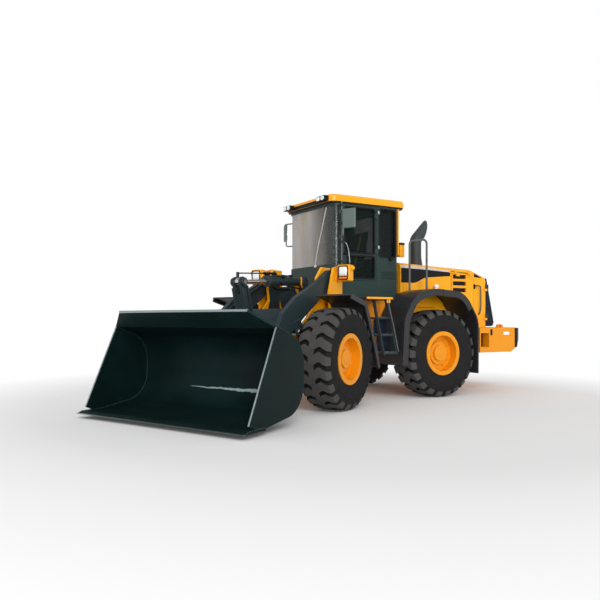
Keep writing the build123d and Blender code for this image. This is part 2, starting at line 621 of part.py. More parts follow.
def cab_openings():
    """Window holes in the cab's fixed walls, as solids to cut."""
    window_top = CAB_TOP_Z - 60
    quarter = ((CAB_REAR_X + 74, DOOR_REAR_X - 60), (SILL_Z - 40, window_top))
    right_high = ((DOOR_REAR_X + 60, DOOR_FRONT_X - 60), (SILL_Z, window_top - 30))
    right_low = ((DOOR_REAR_X + 260, DOOR_FRONT_X - 60), (DOOR_BOTTOM_Z + 70, SILL_Z - 80))
    return {
        "front": block((DOOR_FRONT_X + 42, CAB_FRONT_X + 50), (-CAB_HALF_WIDTH - 5, CAB_HALF_WIDTH + 5),
                       (CAB_FLOOR_Z + 0.304 * CAB_HEIGHT, window_top)),
        "quarter_left": block(quarter[0], SIDE_OUT, quarter[1]),
        "quarter_right": block(quarter[0], SIDE_IN, quarter[1]),
        "right_high": block(right_high[0], SIDE_IN, right_high[1]),
        "right_low": block(right_low[0], SIDE_IN, right_low[1]),
        "rear": block((CAB_REAR_X - 50, CAB_REAR_X + 90), (-540, 540), (SILL_Z, window_top)),
    }


def cab_ring(depth_from, depth_to, z_from, z_to):
    """The cab's wall between two depths below its outer face."""
    return cab_prism(depth_from, z_from, z_to) - cab_prism(depth_to, z_from - 1, z_to + 1)


def door_windows():
    upper = block((DOOR_REAR_X + 45, DOOR_FRONT_X - 65), SIDE_OUT, (SILL_Z, DOOR_TOP_Z - 45))
    lower = block((DOOR_REAR_X + 45, DOOR_FRONT_X - 110), SIDE_OUT, (DOOR_BOTTOM_Z + 45, SILL_Z - 50))
    return upper + lower


def add_cab():
    wall = cab_ring(0, CAB_WALL, CAB_FLOOR_Z, CAB_TOP_Z)
    wall += cab_prism(CAB_WALL - 5, CAB_FLOOR_Z, CAB_FLOOR_Z + 45)
    door_hole = block((DOOR_REAR_X, DOOR_FRONT_X), SIDE_OUT, (DOOR_BOTTOM_Z, DOOR_TOP_Z))
    wall -= door_hole
    pane = cab_ring(GLASS_DEPTH, GLASS_DEPTH + GLASS, CAB_FLOOR_Z, CAB_TOP_Z)
    panes = Part()
    for name, hole in cab_openings().items():
        wall -= hole
        if name == "front":
            nodes["windshield"] = pane & hole
        else:
            panes += pane & hole
    door_hinges = [hinge_leaves(Pos(DOOR_HINGE_X, CAB_HALF_WIDTH + KNUCKLE_STANDOFF, z), KNUCKLE_STANDOFF + 5)
                   for z in (SILL_Z + 65, DOOR_TOP_Z - 140)]
    for fixed, moving in door_hinges:
        wall += fixed
    nodes["cab_frame"] = wall
    nodes["cab_glass"] = panes
    door_space = block((DOOR_REAR_X + DOOR_GAP, DOOR_FRONT_X - DOOR_GAP), SIDE_OUT,
                       (DOOR_BOTTOM_Z + DOOR_GAP, DOOR_TOP_Z - DOOR_GAP))
    door = cab_ring(0, CAB_WALL, CAB_FLOOR_Z, CAB_TOP_Z) & door_space
    door -= door_windows()
    for fixed, moving in door_hinges:
        door += moving
    nodes["cab_door"] = door
    nodes["door_glass"] = pane & door_windows()
    roof = block((ROOF_REAR_X, ROOF_FRONT_X), (-ROOF_HALF_WIDTH, ROOF_HALF_WIDTH), (CAB_TOP_Z, ROOF_TOP_Z))
    roof = fillet(roof.edges().filter_by(Axis.Z), 120)
    nodes["cab_roof"] = fillet(roof.edges().group_by(Axis.Z)[-1], 45)
    nodes["cab_base"] = block((CAB_REAR_X + 90, RAIL_FRONT_X - 70), (-CAB_BASE_HALF, CAB_BASE_HALF),
                              (RAIL_TOP, CAB_FLOOR_Z))


def add_cab_fittings():
    floor = CAB_FLOOR_Z + 45
    cushion_z = floor + 0.26 * CAB_HEIGHT
    cushion_top = cushion_z + 130
    seat = block((-560, -240), (-150, 150), (floor, cushion_z))
    seat += block((-650, -150), (-250, 250), (cushion_z, cushion_top))
    back = block((-90, 20), (-230, 230), (0, 0.42 * CAB_HEIGHT))
    seat += Pos(-620, 0, cushion_top - 40) * Rot(0, -10, 0) * fillet(back.edges().filter_by(Axis.X), 60)
    nodes["seat"] = seat
    column_foot = (150, 0, floor + 20)
    column_head = (40, 0, floor + 0.52 * CAB_HEIGHT)
    lean = Plane(origin=column_head, z_dir=Vector(*column_head) - Vector(*column_foot))
    console = block((90, 210), (-110, 110), (floor, floor + 0.28 * CAB_HEIGHT))
    console += bar(column_foot, column_head, 45)
    console += lean * Torus(190, 16) + lean * (Box(380, 40, 16) + Box(40, 380, 16))
    nodes["steering_console"] = console
    loop_x, loop_y = DOOR_FRONT_X + 102, CAB_HALF_WIDTH + 174
    low, high = CAB_TOP_Z - 580, CAB_TOP_Z - 170
    post = (DOOR_FRONT_X + 22, CAB_HALF_WIDTH + 6)
    loop = bent_tube([(*post, low), (loop_x, loop_y, low), (loop_x, loop_y, high), (*post, high)], 40, 12)
    case = fillet(Box(40, 230, 310).edges(), 15)
    case = Pos(loop_x - 43, loop_y + 98, (low + high) / 2 + 60) * Rot(0, 0, 24) * case
    arm_z = (low + high) / 2
    arm = bar((loop_x, loop_y, arm_z), (loop_x - 43, loop_y + 98, arm_z), 14)
    for foot_z in (low, high):
        loop += block((post[0] - 25, post[0] + 25), (CAB_HALF_WIDTH, CAB_HALF_WIDTH + 14),
                      (foot_z - 25, foot_z + 25))
    nodes["mirrors"] = both_sides(loop + arm + case)
    lamp = block((ROOF_FRONT_X, ROOF_FRONT_X + 90), (-50, 50), (CAB_TOP_Z + 10, CAB_TOP_Z + 90))
    nodes["roof_lamps"] = Part() + [Pos(0, y, 0) * lamp for y in (-585, -465, 465, 585)]


# Hood, tail and fenders

def hood_section(x, top, inset):
    half = HOOD_HALF_WIDTH - inset
    crown = HOOD_ROUND - inset / 2
    outline = FilletPolyline((half, TANK_TOP), (half, top - inset), (-half, top - inset), (-half, TANK_TOP),
                             close=True, radius=(0, crown, crown, 0))
    return Plane(origin=(x, 0, 0), x_dir=(0, 1, 0), z_dir=(1, 0, 0)) * make_face(outline)


def hood_loft(inset, front_x, rear_x):
    sections = [
        hood_section(front_x, HOOD_FRONT_TOP, inset),
        hood_section(HOOD_CREST_X, HOOD_CREST_TOP, inset),
        hood_section(rear_x, HOOD_REAR_TOP, inset),
    ]
    return loft(sections, ruled=True)


def add_hood():
    shell = hood_loft(0, HOOD_FRONT_X, HOOD_REAR_X)
    shell -= hood_loft(HOOD_SHEET, HOOD_FRONT_X - HOOD_SHEET, HOOD_REAR_X - 1)
    inner = HOOD_HALF_WIDTH - HOOD_SHEET
    flank = block((HOOD_REAR_X, TANK_REAR_X - 5), (inner, HOOD_HALF_WIDTH), (TAIL_TOP, TANK_TOP + 5))
    shell += flank + right_of(flank)
    hole = block((HOOD_DOOR_REAR_X, HOOD_DOOR_FRONT_X), (inner - 60, HOOD_HALF_WIDTH + 60),
                 (HOOD_DOOR_BOTTOM, HOOD_DOOR_TOP))
    shell -= hole
    shell -= right_of(hole)
    shell -= Pos(STACK_X, STACK_Y, HOOD_CREST_TOP) * Cylinder(STACK_RADIUS + 10, 400)
    door = block((HOOD_DOOR_REAR_X + DOOR_GAP, HOOD_DOOR_FRONT_X - DOOR_GAP),
                 (HOOD_HALF_WIDTH - HOOD_DOOR_SHEET, HOOD_HALF_WIDTH),
                 (HOOD_DOOR_BOTTOM + DOOR_GAP, HOOD_DOOR_TOP - DOOR_GAP))
    for number in range(3):
        slot_top = HOOD_DOOR_TOP - 25 - number * LOUVRE_PITCH
        door -= block((HOOD_DOOR_FRONT_X - 360, HOOD_DOOR_FRONT_X - 25),
                      (HOOD_HALF_WIDTH - 100, HOOD_HALF_WIDTH + 50), (slot_top - LOUVRE_HEIGHT, slot_top))
    for x in (HOOD_DOOR_REAR_X + 110, HOOD_DOOR_FRONT_X - 110):
        pivot = (x, HOOD_HALF_WIDTH + KNUCKLE_STANDOFF, HOOD_HINGE_Z)
        place = Plane(origin=pivot, x_dir=(0, 0, -1), z_dir=(1, 0, 0))
        fixed, moving = hinge_leaves(place, KNUCKLE_STANDOFF + 5)
        shell += fixed + right_of(fixed)
        door += moving
    nodes["hood_door_left"] = door
    nodes["hood_door_right"] = right_of(door)
    front = GRILLE_FRONT_X
    outline = [(front, 2070), (front - 25, 2070), (GRILLE_FOOT_X, 1250), (GRILLE_FOOT_X + 30, 1175),
               (front, 1175)]
    wedge = side_plate(outline, 0, 2 * GRILLE_HALF_WIDTH)
    hollow = [(front + 1, 2030), (front, 2030), (GRILLE_FOOT_X + 45, 1250), (GRILLE_FOOT_X + 55, 1215),
              (front + 1, 1215)]
    grille = wedge - side_plate(hollow, 0, 2 * GRILLE_HALF_WIDTH - 80)
    for row in range(8):
        z = 1290 + 92 * row
        grille -= block((GRILLE_FOOT_X - 50, front + 50), (-GRILLE_HALF_WIDTH + 90, GRILLE_HALF_WIDTH - 90),
                        (z, z + 46))
    reach = HOOD_HALF_WIDTH + KNUCKLE_STANDOFF - GRILLE_HALF_WIDTH + 5
    for z in (1350, 1900):
        pivot = (front, HOOD_HALF_WIDTH + KNUCKLE_STANDOFF, z)
        place = Plane(origin=pivot, x_dir=(-1, 0, 0), z_dir=(0, 0, -1))
        fixed, moving = hinge_leaves(place, reach)
        shell += fixed
        grille += moving
    nodes["rear_grille"] = grille
    nodes["hood_shell"] = shell
    left = [(RAIL_REAR_X, TAIL_WING_Y), (TAIL_WING_X, TAIL_WING_Y), (TAIL_WING_X, TAIL_HALF_WIDTH),
            (TAIL_CORNER_X, TAIL_HALF_WIDTH), (TAIL_REAR_X, TAIL_REAR_HALF_WIDTH)]
    plan = left + [(x, -y) for x, y in reversed(left)]
    tail = extrude(make_face(Polyline(*plan, close=True)), amount=TAIL_TOP - TAIL_BOTTOM)
    tail = Pos(0, 0, TAIL_BOTTOM) * tail
    pocket = block((RAIL_REAR_X + 40, TAIL_WING_X - 26), (TAIL_HALF_WIDTH - TAIL_POCKET, TAIL_HALF_WIDTH + 1),
                   (TAIL_BOTTOM + 95, TAIL_TOP - 95))
    wedge_x = TAIL_CORNER_X + 97
    rise = 0.57 * (wedge_x - TAIL_REAR_X)
    wedge = side_plate([(wedge_x, TAIL_BOTTOM - 1), (TAIL_REAR_X - 1, TAIL_BOTTOM - 1),
                        (TAIL_REAR_X - 1, TAIL_BOTTOM + rise)], TAIL_HALF_WIDTH - 400, 802)
    tail -= both_sides(pocket) + both_sides(wedge)
    eye = side_plate([(TAIL_CORNER_X + 95, TAIL_TOP - 5), (TAIL_CORNER_X + 240, TAIL_TOP - 5),
                      (TAIL_CORNER_X + 240, TAIL_TOP + 30), (TAIL_CORNER_X + 205, TAIL_TOP + 60),
                      (TAIL_CORNER_X + 130, TAIL_TOP + 60), (TAIL_CORNER_X + 95, TAIL_TOP + 30)],
                     TAIL_REAR_HALF_WIDTH - 50, 40)
    eye -= cross_rod((TAIL_CORNER_X + 168, TAIL_TOP + 25), 20, 0, TAIL_HALF_WIDTH)
    tail += both_sides(eye)
    hitch_rear = TAIL_REAR_X - HITCH_REACH
    hitch = block((hitch_rear, TAIL_REAR_X + 100), (-HITCH_HALF_WIDTH, HITCH_HALF_WIDTH),
                  (HITCH_BOTTOM, HITCH_TOP))
    hitch_sides = hitch.edges().filter_by(Axis.Z).group_by(Axis.X)[0]
    tail += fillet(hitch_sides, HITCH_REACH - 10)
    tail -= block((hitch_rear - 1, TAIL_REAR_X + 150), (-130, 130), (HITCH_BOTTOM + 90, HITCH_TOP - 90))
    tail -= Pos(TOW_PIN_X, 0, TAIL_BOTTOM) * Cylinder(TOW_BORE_RADIUS, 3 * TAIL_TOP)
    nodes["counterweight"] = tail
    lamp = block((TAIL_REAR_X - 35, TAIL_REAR_X), (TAIL_REAR_HALF_WIDTH - 260, TAIL_REAR_HALF_WIDTH - 60),
                 (TAIL_TOP - 160, TAIL_TOP - 60))
    nodes["tail_lamps"] = both_sides(lamp)
    inner_y = RAIL_Y + RAIL_PLATE / 2
    tank = block((TANK_REAR_X, TANK_FRONT_X), (inner_y, TANK_OUTER_Y), (TANK_BOTTOM, TANK_TOP))
    tank_corners = tank.edges().filter_by(Axis.Y)
    rear_top = tank_corners.group_by(Axis.X)[0].sort_by(Axis.Z)[-1]
    tank = fillet(tank_corners.filter_by(lambda edge: edge != rear_top), 60)
    tank = fillet(tank.edges().filter_by(Axis.Y).group_by(Axis.X)[0].sort_by(Axis.Z)[-1], 250)
    nodes["side_tanks"] = both_sides(tank)
    nodes["engine_block"] = block((-2400, -1250), (-RAIL_Y, RAIL_Y), (RAIL_TOP, ENGINE_TOP))
    bend = STACK_TIP[1] - 300
    pipe = bent_tube([(STACK_X, STACK_Y, ENGINE_TOP), (STACK_X, STACK_Y, bend),
                      (STACK_X - 330, STACK_Y, bend + 330)], STACK_RADIUS + 15, STACK_RADIUS)
    over = (2 * STACK_TIP[0] - STACK_LIP[0], 2 * STACK_TIP[1] - STACK_LIP[1])
    behind = [STACK_LIP, over, (over[0] - 600, over[1]), (STACK_LIP[0] - 600, STACK_LIP[1])]
    pipe -= side_plate(behind, STACK_Y, 4 * STACK_RADIUS)
    pipe -= bar((STACK_X - 20, STACK_Y, bend + 20), (STACK_X - 400, STACK_Y, bend + 400), STACK_RADIUS - 15)
    foot = HOOD_FRONT_TOP - 15
    collar = Pos(STACK_X, STACK_Y, foot) * Cone(STACK_RADIUS + 25, STACK_RADIUS, 170,
                                                align=(Align.CENTER, Align.CENTER, Align.MIN))
    nodes["exhaust_stack"] = pipe + collar


def fender_lip(line, bend, depth):
    """An upright lip along the outer edge of a fender, hanging inside its line."""
    inner = offset(FilletPolyline(*line, radius=bend), amount=depth + FENDER_SHEET / 2, side=Side.LEFT)
    lip = extrude(Plane.XZ * make_face(inner), amount=FENDER_LIP_SHEET / 2, both=True)
    return Pos(0, FENDER_OUTER_Y - FENDER_LIP_SHEET / 2, 0) * lip


def add_fenders():
    rear = bent_sheet(REAR_FENDER_LINE, FENDER_BEND, FENDER_SHEET, TANK_OUTER_Y, FENDER_OUTER_Y)
    rear += fender_lip(REAR_FENDER_LINE[:-2] + (REAR_FENDER_LIP_END,), FENDER_BEND, FENDER_LIP)
    nodes["fender_rear_left"] = rear
    nodes["fender_rear_right"] = right_of(rear)
    tower_face = ARM_Y + TOWER_PLATE_GAP / 2 + RAIL_PLATE
    front = bent_sheet(FRONT_FENDER_LINE, 150, FENDER_SHEET, tower_face, FENDER_OUTER_Y)
    front += fender_lip(FRONT_FENDER_LINE, 150, 0.6 * FENDER_LIP)
    nodes["fender_front_left"] = turned(front)
    nodes["fender_front_right"] = turned(right_of(front))
    case = fillet(block((760, 910), (tower_face + 40, tower_face + 250), (1893, 2147)).edges(), 20)
    case += block((780, 860), (tower_face, tower_face + 50), (1990, 2050))
    nodes["headlamps"] = turned(both_sides(case))


def rear_fender_top(x):
    """Height at which a handrail tube about x stands on the rear fender."""
    for (x1, z1), (x2, z2) in zip(REAR_FENDER_LINE, REAR_FENDER_LINE[1:]):
        if x2 <= x <= x1:
            slope = (z2 - z1) / (x2 - x1)
            middle = z1 + slope * (x - x1)
            return middle + FENDER_SHEET / 2 * hypot(1, slope) + abs(slope) * RAIL_TUBE_RADIUS + RUNNING_FIT
    raise ValueError("no fender under the handrail")


def add_ladders():
    body = block((LADDER_REAR_X - 30, -100), (CAB_BASE_HALF, LADDER_OUTER_Y - 110),
                 (DECK_TOP - DECK_SHEET, DECK_TOP))
    lowest = STEP_HEIGHTS[0]
    for height in STEP_HEIGHTS:
        out = LADDER_OUTER_Y - 0.28 * (height - lowest)
        body += block((LADDER_REAR_X, LADDER_FRONT_X), (out - 200, out), (height - 30, height))
    for x in (LADDER_REAR_X, LADDER_FRONT_X - 20):
        bottom_out = LADDER_OUTER_Y
        top_out = bottom_out - 0.28 * (DECK_TOP - lowest)
        face = make_face(Polyline((bottom_out - 60, lowest - 40), (bottom_out, lowest - 40),
                                  (top_out, DECK_TOP - 20), (top_out - 60, DECK_TOP - 20), close=True))
        plane = Plane(origin=(x, 0, 0), x_dir=(0, 1, 0), z_dir=(1, 0, 0))
        body += extrude(plane * face, amount=20)
    nodes["ladder_left"] = body
    nodes["ladder_right"] = right_of(body)
    front, rear = -1105, -1490
    loop = bent_tube([(front, 900, rear_fender_top(front)), (front, 900, 2630), (rear, 900, 2680),
                      (rear, 900, rear_fender_top(rear))], 70, RAIL_TUBE_RADIUS)
    nodes["handrails"] = both_sides(loop)


def build():
    add_wheels()
    nodes["rear_chassis"] = rear_chassis()
    nodes["front_chassis"] = turned(front_chassis())
    nodes["boom"] = turned(boom())
    nodes["bellcrank"] = turned(bellcrank())
    nodes["tilt_link"] = turned(tilt_link())
    nodes["bucket"] = turned(bucket())
    add_cylinders()
    add_cab()
    add_cab_fittings()
    add_hood()
    add_fenders()
    add_ladders()


build()
boxes = [shape.bounding_box() for shape in nodes.values()]
CENTRE_X = (min(box.min.X for box in boxes) + max(box.max.X for box in boxes)) / 2
CENTRE_Y = (min(box.min.Y for box in boxes) + max(box.max.Y for box in boxes)) / 2
os.makedirs("parts", exist_ok=True)
for name, shape in nodes.items():
    export_step(Pos(-CENTRE_X, -CENTRE_Y, 0) * shape, f"parts/{name}.step")
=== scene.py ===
import bmesh
import bpy
import json
import math
from mathutils import Matrix, Vector


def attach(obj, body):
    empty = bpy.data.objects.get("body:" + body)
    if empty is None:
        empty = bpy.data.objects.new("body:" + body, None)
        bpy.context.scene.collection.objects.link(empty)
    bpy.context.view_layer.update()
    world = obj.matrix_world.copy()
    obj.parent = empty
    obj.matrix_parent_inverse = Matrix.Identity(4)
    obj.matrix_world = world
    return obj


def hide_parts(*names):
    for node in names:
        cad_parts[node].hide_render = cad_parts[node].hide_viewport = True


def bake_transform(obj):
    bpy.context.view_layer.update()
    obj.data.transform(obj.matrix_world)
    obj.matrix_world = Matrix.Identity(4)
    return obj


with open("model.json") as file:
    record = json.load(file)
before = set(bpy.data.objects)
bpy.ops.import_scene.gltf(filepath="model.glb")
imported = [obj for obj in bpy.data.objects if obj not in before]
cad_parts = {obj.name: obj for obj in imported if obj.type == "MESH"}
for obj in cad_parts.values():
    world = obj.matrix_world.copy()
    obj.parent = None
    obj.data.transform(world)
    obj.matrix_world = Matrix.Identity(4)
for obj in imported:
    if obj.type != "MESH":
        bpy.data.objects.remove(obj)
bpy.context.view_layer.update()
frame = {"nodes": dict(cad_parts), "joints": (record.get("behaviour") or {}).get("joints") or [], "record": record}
NODES = frame["nodes"]

# The steering hinge is the origin of both halves' own drawings; the front half is turned about it.
STEER_REST = math.radians(26)
HINGE = next(Vector(j["pos_m"]) for j in frame["joints"] if j["name"] == "steer")
REAR = Matrix.Translation((HINGE.x, HINGE.y, 0))
FRONT = REAR @ Matrix.Rotation(STEER_REST, 4, "Z")
FRONT_BODIES = ("front_frame", "boom", "bellcrank", "tilt_rod", "tilt_barrel", "bucket")
SIDES = (("left", 1), ("right", -1))
ENDS = ("front", "rear")

# Places of the colour sockets on a Mix node, whose names its number sockets share.
MIX_FIRST, MIX_SECOND, MIX_RESULT = 6, 7, 2


# Materials

def srgb(red, green, blue):
    """A colour given as 0 to 255 screen values, in linear light."""
    def linear(value):
        value /= 255
        return value / 12.92 if value <= 0.04045 else ((value + 0.055) / 1.055) ** 2.4
    return (linear(red), linear(green), linear(blue), 1)


def scaled(colour, factor):
    return tuple(min(1, c * factor) for c in colour[:3]) + (1,)


class Nodes:
    """A material's node tree with short calls to add and join nodes."""

    def __init__(self, name):
        self.material = bpy.data.materials.new(name)
        self.material.use_nodes = True
        self.tree = self.material.node_tree
        self.shader = self.tree.nodes["Principled BSDF"]
        self.place = self.add("ShaderNodeTexCoord").outputs["Object"]

    def add(self, kind, **values):
        node = self.tree.nodes.new(kind)
        for key, value in values.items():
            if hasattr(node, key):
                setattr(node, key, value)
            else:
                node.inputs[key.replace("_", " ").title()].default_value = value
        return node

    def join(self, value, socket):
        """Links another node's output to a socket, or types a plain value into it."""
        if isinstance(value, bpy.types.NodeSocket):
            self.tree.links.new(value, socket)
        else:
            socket.default_value = value

    def noise(self, scale, detail=4.0, rough=0.6, stretch=None):
        node = self.add("ShaderNodeTexNoise", Scale=scale, Detail=detail, Roughness=rough)
        start = self.place
        if stretch:
            mapping = self.add("ShaderNodeMapping")
            mapping.inputs["Scale"].default_value = stretch
            self.join(start, mapping.inputs["Vector"])
            start = mapping.outputs["Vector"]
        self.join(start, node.inputs["Vector"])
        return node.outputs["Fac"]

    def ramp(self, value, low, high, start=0.3, end=0.7):
        """A value taken from one number to another between two stops."""
        node = self.add("ShaderNodeMapRange")
        for key, number in (("From Min", start), ("From Max", end), ("To Min", low), ("To Max", high)):
            node.inputs[key].default_value = number
        self.join(value, node.inputs["Value"])
        return node.outputs["Result"]

    def mix(self, factor, first, second):
        node = self.add("ShaderNodeMix", data_type="RGBA")
        self.join(factor, node.inputs["Factor"])
        self.join(first, node.inputs[MIX_FIRST])
        self.join(second, node.inputs[MIX_SECOND])
        return node.outputs[MIX_RESULT]

    def math(self, operation, first, second=0):
        node = self.add("ShaderNodeMath", operation=operation)
        self.join(first, node.inputs[0])
        self.join(second, node.inputs[1])
        return node.outputs[0]

    def edges(self, radius):
        """Rounded normals, and a mask of the outer edges within a radius."""
        bevel = self.add("ShaderNodeBevel", samples=4)
        bevel.inputs["Radius"].default_value = radius
        flat = self.add("ShaderNodeNewGeometry").outputs["Normal"]
        dot = self.add("ShaderNodeVectorMath", operation="DOT_PRODUCT")
        self.join(bevel.outputs["Normal"], dot.inputs[0])
        self.join(flat, dot.inputs[1])
        return bevel.outputs["Normal"], self.ramp(dot.outputs["Value"], 1.0, 0.0, 0.90, 0.995)

    def bump(self, height, strength, distance, normal=None):
        node = self.add("ShaderNodeBump", Strength=strength, Distance=distance)
        self.join(height, node.inputs["Height"])
        if normal is not None:
            self.join(normal, node.inputs["Normal"])
        return node.outputs["Normal"]

    def set(self, **values):
        """Plain values or other nodes' outputs for the shader's own sockets."""
        for key, value in values.items():
            self.join(value, self.shader.inputs[key.replace("_", " ")])


def painted(name, colour, rough, coat=0.0, worn=None, wear=0.4, streak=0.05, bump=0.03, edge=0.005,
            gloss=0.5):
    """Sprayed paint: faint clouding, orange peel, rounded edges and a little wear on them."""
    nodes = Nodes(name)
    cloud = nodes.noise(2.2, 6)
    fine = nodes.noise(38, 3)
    body = nodes.mix(nodes.ramp(cloud, 0, 1), scaled(colour, 1 - streak), scaled(colour, 1 + streak))
    normal, mask = nodes.edges(edge)
    if worn:
        patchy = nodes.math("MULTIPLY", mask, nodes.ramp(nodes.noise(14, 6), 0, wear, 0.35, 0.65))
        body = nodes.mix(patchy, body, worn)
    nodes.set(Base_Color=body)
    nodes.set(Roughness=nodes.ramp(fine, rough - 0.05, rough + 0.08))
    peel = nodes.bump(nodes.noise(260, 2), bump, 0.002, normal)
    nodes.set(Normal=peel)
    nodes.set(Coat_Weight=coat, Coat_Roughness=0.12, Specular_IOR_Level=gloss)
    return nodes.material


def film(name, colour, rough):
    """Smooth sheet or film with a faint clouding."""
    return painted(name, colour, rough, 0.2, streak=0.04, bump=0.02, edge=0.002)


def rubber(name, colour, rough, grain=90, gloss=0.16):
    """Matt rubber or moulded plastic with a fine grain and a trace of dust."""
    nodes = Nodes(name)
    dust = nodes.ramp(nodes.noise(5, 8, 0.7), 0, 0.5, 0.42, 0.75)
    body = nodes.mix(dust, colour, scaled(colour, 1.5))
    nodes.set(Base_Color=body)
    nodes.set(Roughness=nodes.ramp(nodes.noise(22, 4), rough - 0.08, rough + 0.08))
    normal, _ = nodes.edges(0.004)
    nodes.set(Normal=nodes.bump(nodes.noise(grain, 5), 0.12, 0.004, normal))
    nodes.set(Specular_IOR_Level=gloss)
    return nodes.material


def metal(name, colour, rough, stretch=(1, 1, 1)):
    """Bare or plated metal with fine drawn marks."""
    nodes = Nodes(name)
    marks = nodes.noise(60, 4, 0.6, stretch)
    nodes.set(Base_Color=nodes.mix(marks, scaled(colour, 0.85), scaled(colour, 1.1)))
    nodes.set(Roughness=nodes.ramp(marks, rough * 0.7, rough * 1.4))
    normal, _ = nodes.edges(0.003)
    nodes.set(Normal=nodes.bump(marks, 0.04, 0.001, normal))
    nodes.set(Metallic=1.0)
    return nodes.material


def glass(name, tint, alpha):
    """Tinted pane: mostly see-through, with its own gloss and faint smears."""
    nodes = Nodes(name)
    smear = nodes.noise(3.5, 6, 0.65, (1, 1, 0.4))
    nodes.set(Base_Color=nodes.mix(smear, scaled(tint, 0.85), scaled(tint, 1.15)))
    nodes.set(Roughness=nodes.ramp(smear, 0.03, 0.09))
    nodes.set(Alpha=nodes.ramp(smear, alpha - 0.04, alpha + 0.04))
    nodes.set(Specular_IOR_Level=0.18)
    return nodes.material


def screen_with_dust_and_painted_reflection(name, dust, alpha, clear_alpha):
    """Windshield: a pale film that paints a reflection on the pane, with dust blotches in it, full in the middle
    and fading toward the door's side and its corner, where the dark, more see-through pane shows.
    """
    nodes = Nodes(name)
    across = nodes.add("ShaderNodeSeparateXYZ")
    nodes.join(nodes.place, across.inputs[0])
    middle = HINGE.y
    # Painted reflection: the pale film is full from the middle across to the right-hand side and fades out toward
    # the door's side.
    film = nodes.ramp(across.outputs["Y"], 1.0, 0.0, middle + 0.02, middle + 0.68)
    smear = nodes.noise(2.6, 7, 0.6, (1, 1, 0.35))
    blotch = nodes.ramp(nodes.noise(1.7, 3, 0.5, (1, 1.4, 0.8)), 0, 0.5, 0.5, 0.75)
    # The film's pale tone stands for the painted reflection, with dust-coloured blotches mixed into it.
    reflection_tone = nodes.mix(nodes.ramp(smear, 0, 1), scaled(dust, 0.80), scaled(dust, 1.12))
    reflection_tone = nodes.mix(blotch, reflection_tone, srgb(176, 160, 122))
    nodes.set(Base_Color=nodes.mix(film, srgb(52, 62, 60), reflection_tone))
    thick = nodes.math("MULTIPLY", film, nodes.ramp(smear, alpha - clear_alpha - 0.12, alpha - clear_alpha))
    nodes.set(Alpha=nodes.math("ADD", thick, clear_alpha))
    nodes.set(Roughness=nodes.ramp(smear, 0.08, 0.2))
    nodes.set(Specular_IOR_Level=0.25)
    return nodes.material


def lens(name, colour, glow=0.0):
    """Ribbed lamp lens."""
    nodes = Nodes(name)
    ribs = nodes.add("ShaderNodeTexWave", Scale=45.0, Distortion=0.4)
    nodes.join(nodes.place, ribs.inputs["Vector"])
    nodes.set(Base_Color=nodes.mix(ribs.outputs["Fac"], scaled(colour, 0.8), colour))
    nodes.set(Normal=nodes.bump(ribs.outputs["Fac"], 0.3, 0.003))
    nodes.set(Roughness=0.12, Coat_Weight=0.6)
    if glow:
        nodes.set(Emission_Color=colour, Emission_Strength=glow)
    return nodes.material


def woven(name, colour, scale=420):
    """Seat cloth with a weave and a soft sheen."""
    nodes = Nodes(name)
    across = nodes.add("ShaderNodeTexWave", Scale=scale / 6.3, bands_direction="X")
    along = nodes.add("ShaderNodeTexWave", Scale=scale / 6.3, bands_direction="Z")
    for wave in (across, along):
        nodes.join(nodes.place, wave.inputs["Vector"])
    weave = nodes.math("MULTIPLY", across.outputs["Fac"], along.outputs["Fac"])
    nodes.set(Base_Color=nodes.mix(weave, scaled(colour, 0.7), scaled(colour, 1.25)))
    nodes.set(Normal=nodes.bump(weave, 0.25, 0.002))
    nodes.set(Roughness=0.85, Sheen_Weight=0.25)
    return nodes.material


YELLOW = painted("yellow_gloss", srgb(249, 170, 8), 0.36, 0.2, srgb(255, 205, 90), 0.35, gloss=0.35)
WHEEL = painted("wheel_gloss", srgb(230, 146, 10), 0.4, 0.1, srgb(250, 190, 90), 0.3, gloss=0.3)
TAIL = painted("tail_gloss", srgb(228, 144, 8), 0.4, 0.1, srgb(255, 195, 90), 0.3, gloss=0.3)
# Painted shade: a deeper, more orange copy of the yellow for the chassis-paint parts, standing for the cast the
# yellow takes in the shade under the decks and fenders.
SHADED_YELLOW = painted("frame_satin_painted_shade", srgb(240, 148, 20), 0.45, 0.1, srgb(250, 180, 80), 0.3)
SLATE = painted("slate_satin", srgb(42, 55, 59), 0.44, 0.03, srgb(112, 132, 136), 0.45, gloss=0.22)
TEAL = painted("cab_satin", srgb(40, 58, 54), 0.42, 0.04, srgb(110, 130, 126), 0.35, gloss=0.25)
TUBE = painted("tube_satin", srgb(84, 84, 82), 0.42, 0.1, srgb(150, 140, 130), 0.5)
STACK = painted("stack_matt", srgb(58, 64, 65), 0.5, 0.0, srgb(120, 122, 120), 0.4, gloss=0.25)
BLACK = rubber("moulded_black", srgb(20, 20, 23), 0.45, 90, 0.2)
# The fenders' black plastic: its higher gloss is real, and its base, lighter than the other black parts, is a
# painted sheen.
FENDER_PAINTED_SHEEN = rubber("fender_plastic_painted_sheen", srgb(40, 41, 44), 0.38, 90, 0.42)
TYRE = rubber("tyre_rubber", srgb(29, 29, 30), 0.75, 60)
TREAD = rubber("tread_rubber", srgb(70, 69, 68), 0.8, 60)
HOSE = rubber("hose_rubber", srgb(24, 26, 28), 0.55)
LINER = woven("headliner_cloth", srgb(34, 42, 40))
CHROME = metal("chrome_rod", srgb(205, 207, 210), 0.16, (1, 1, 12))
STEEL = metal("bright_steel", srgb(190, 195, 195), 0.3)
ZINC = metal("zinc_bolt", srgb(150, 152, 150), 0.42)
IRON = painted("engine_iron", srgb(60, 61, 64), 0.6, 0.0, srgb(110, 110, 110), 0.5)
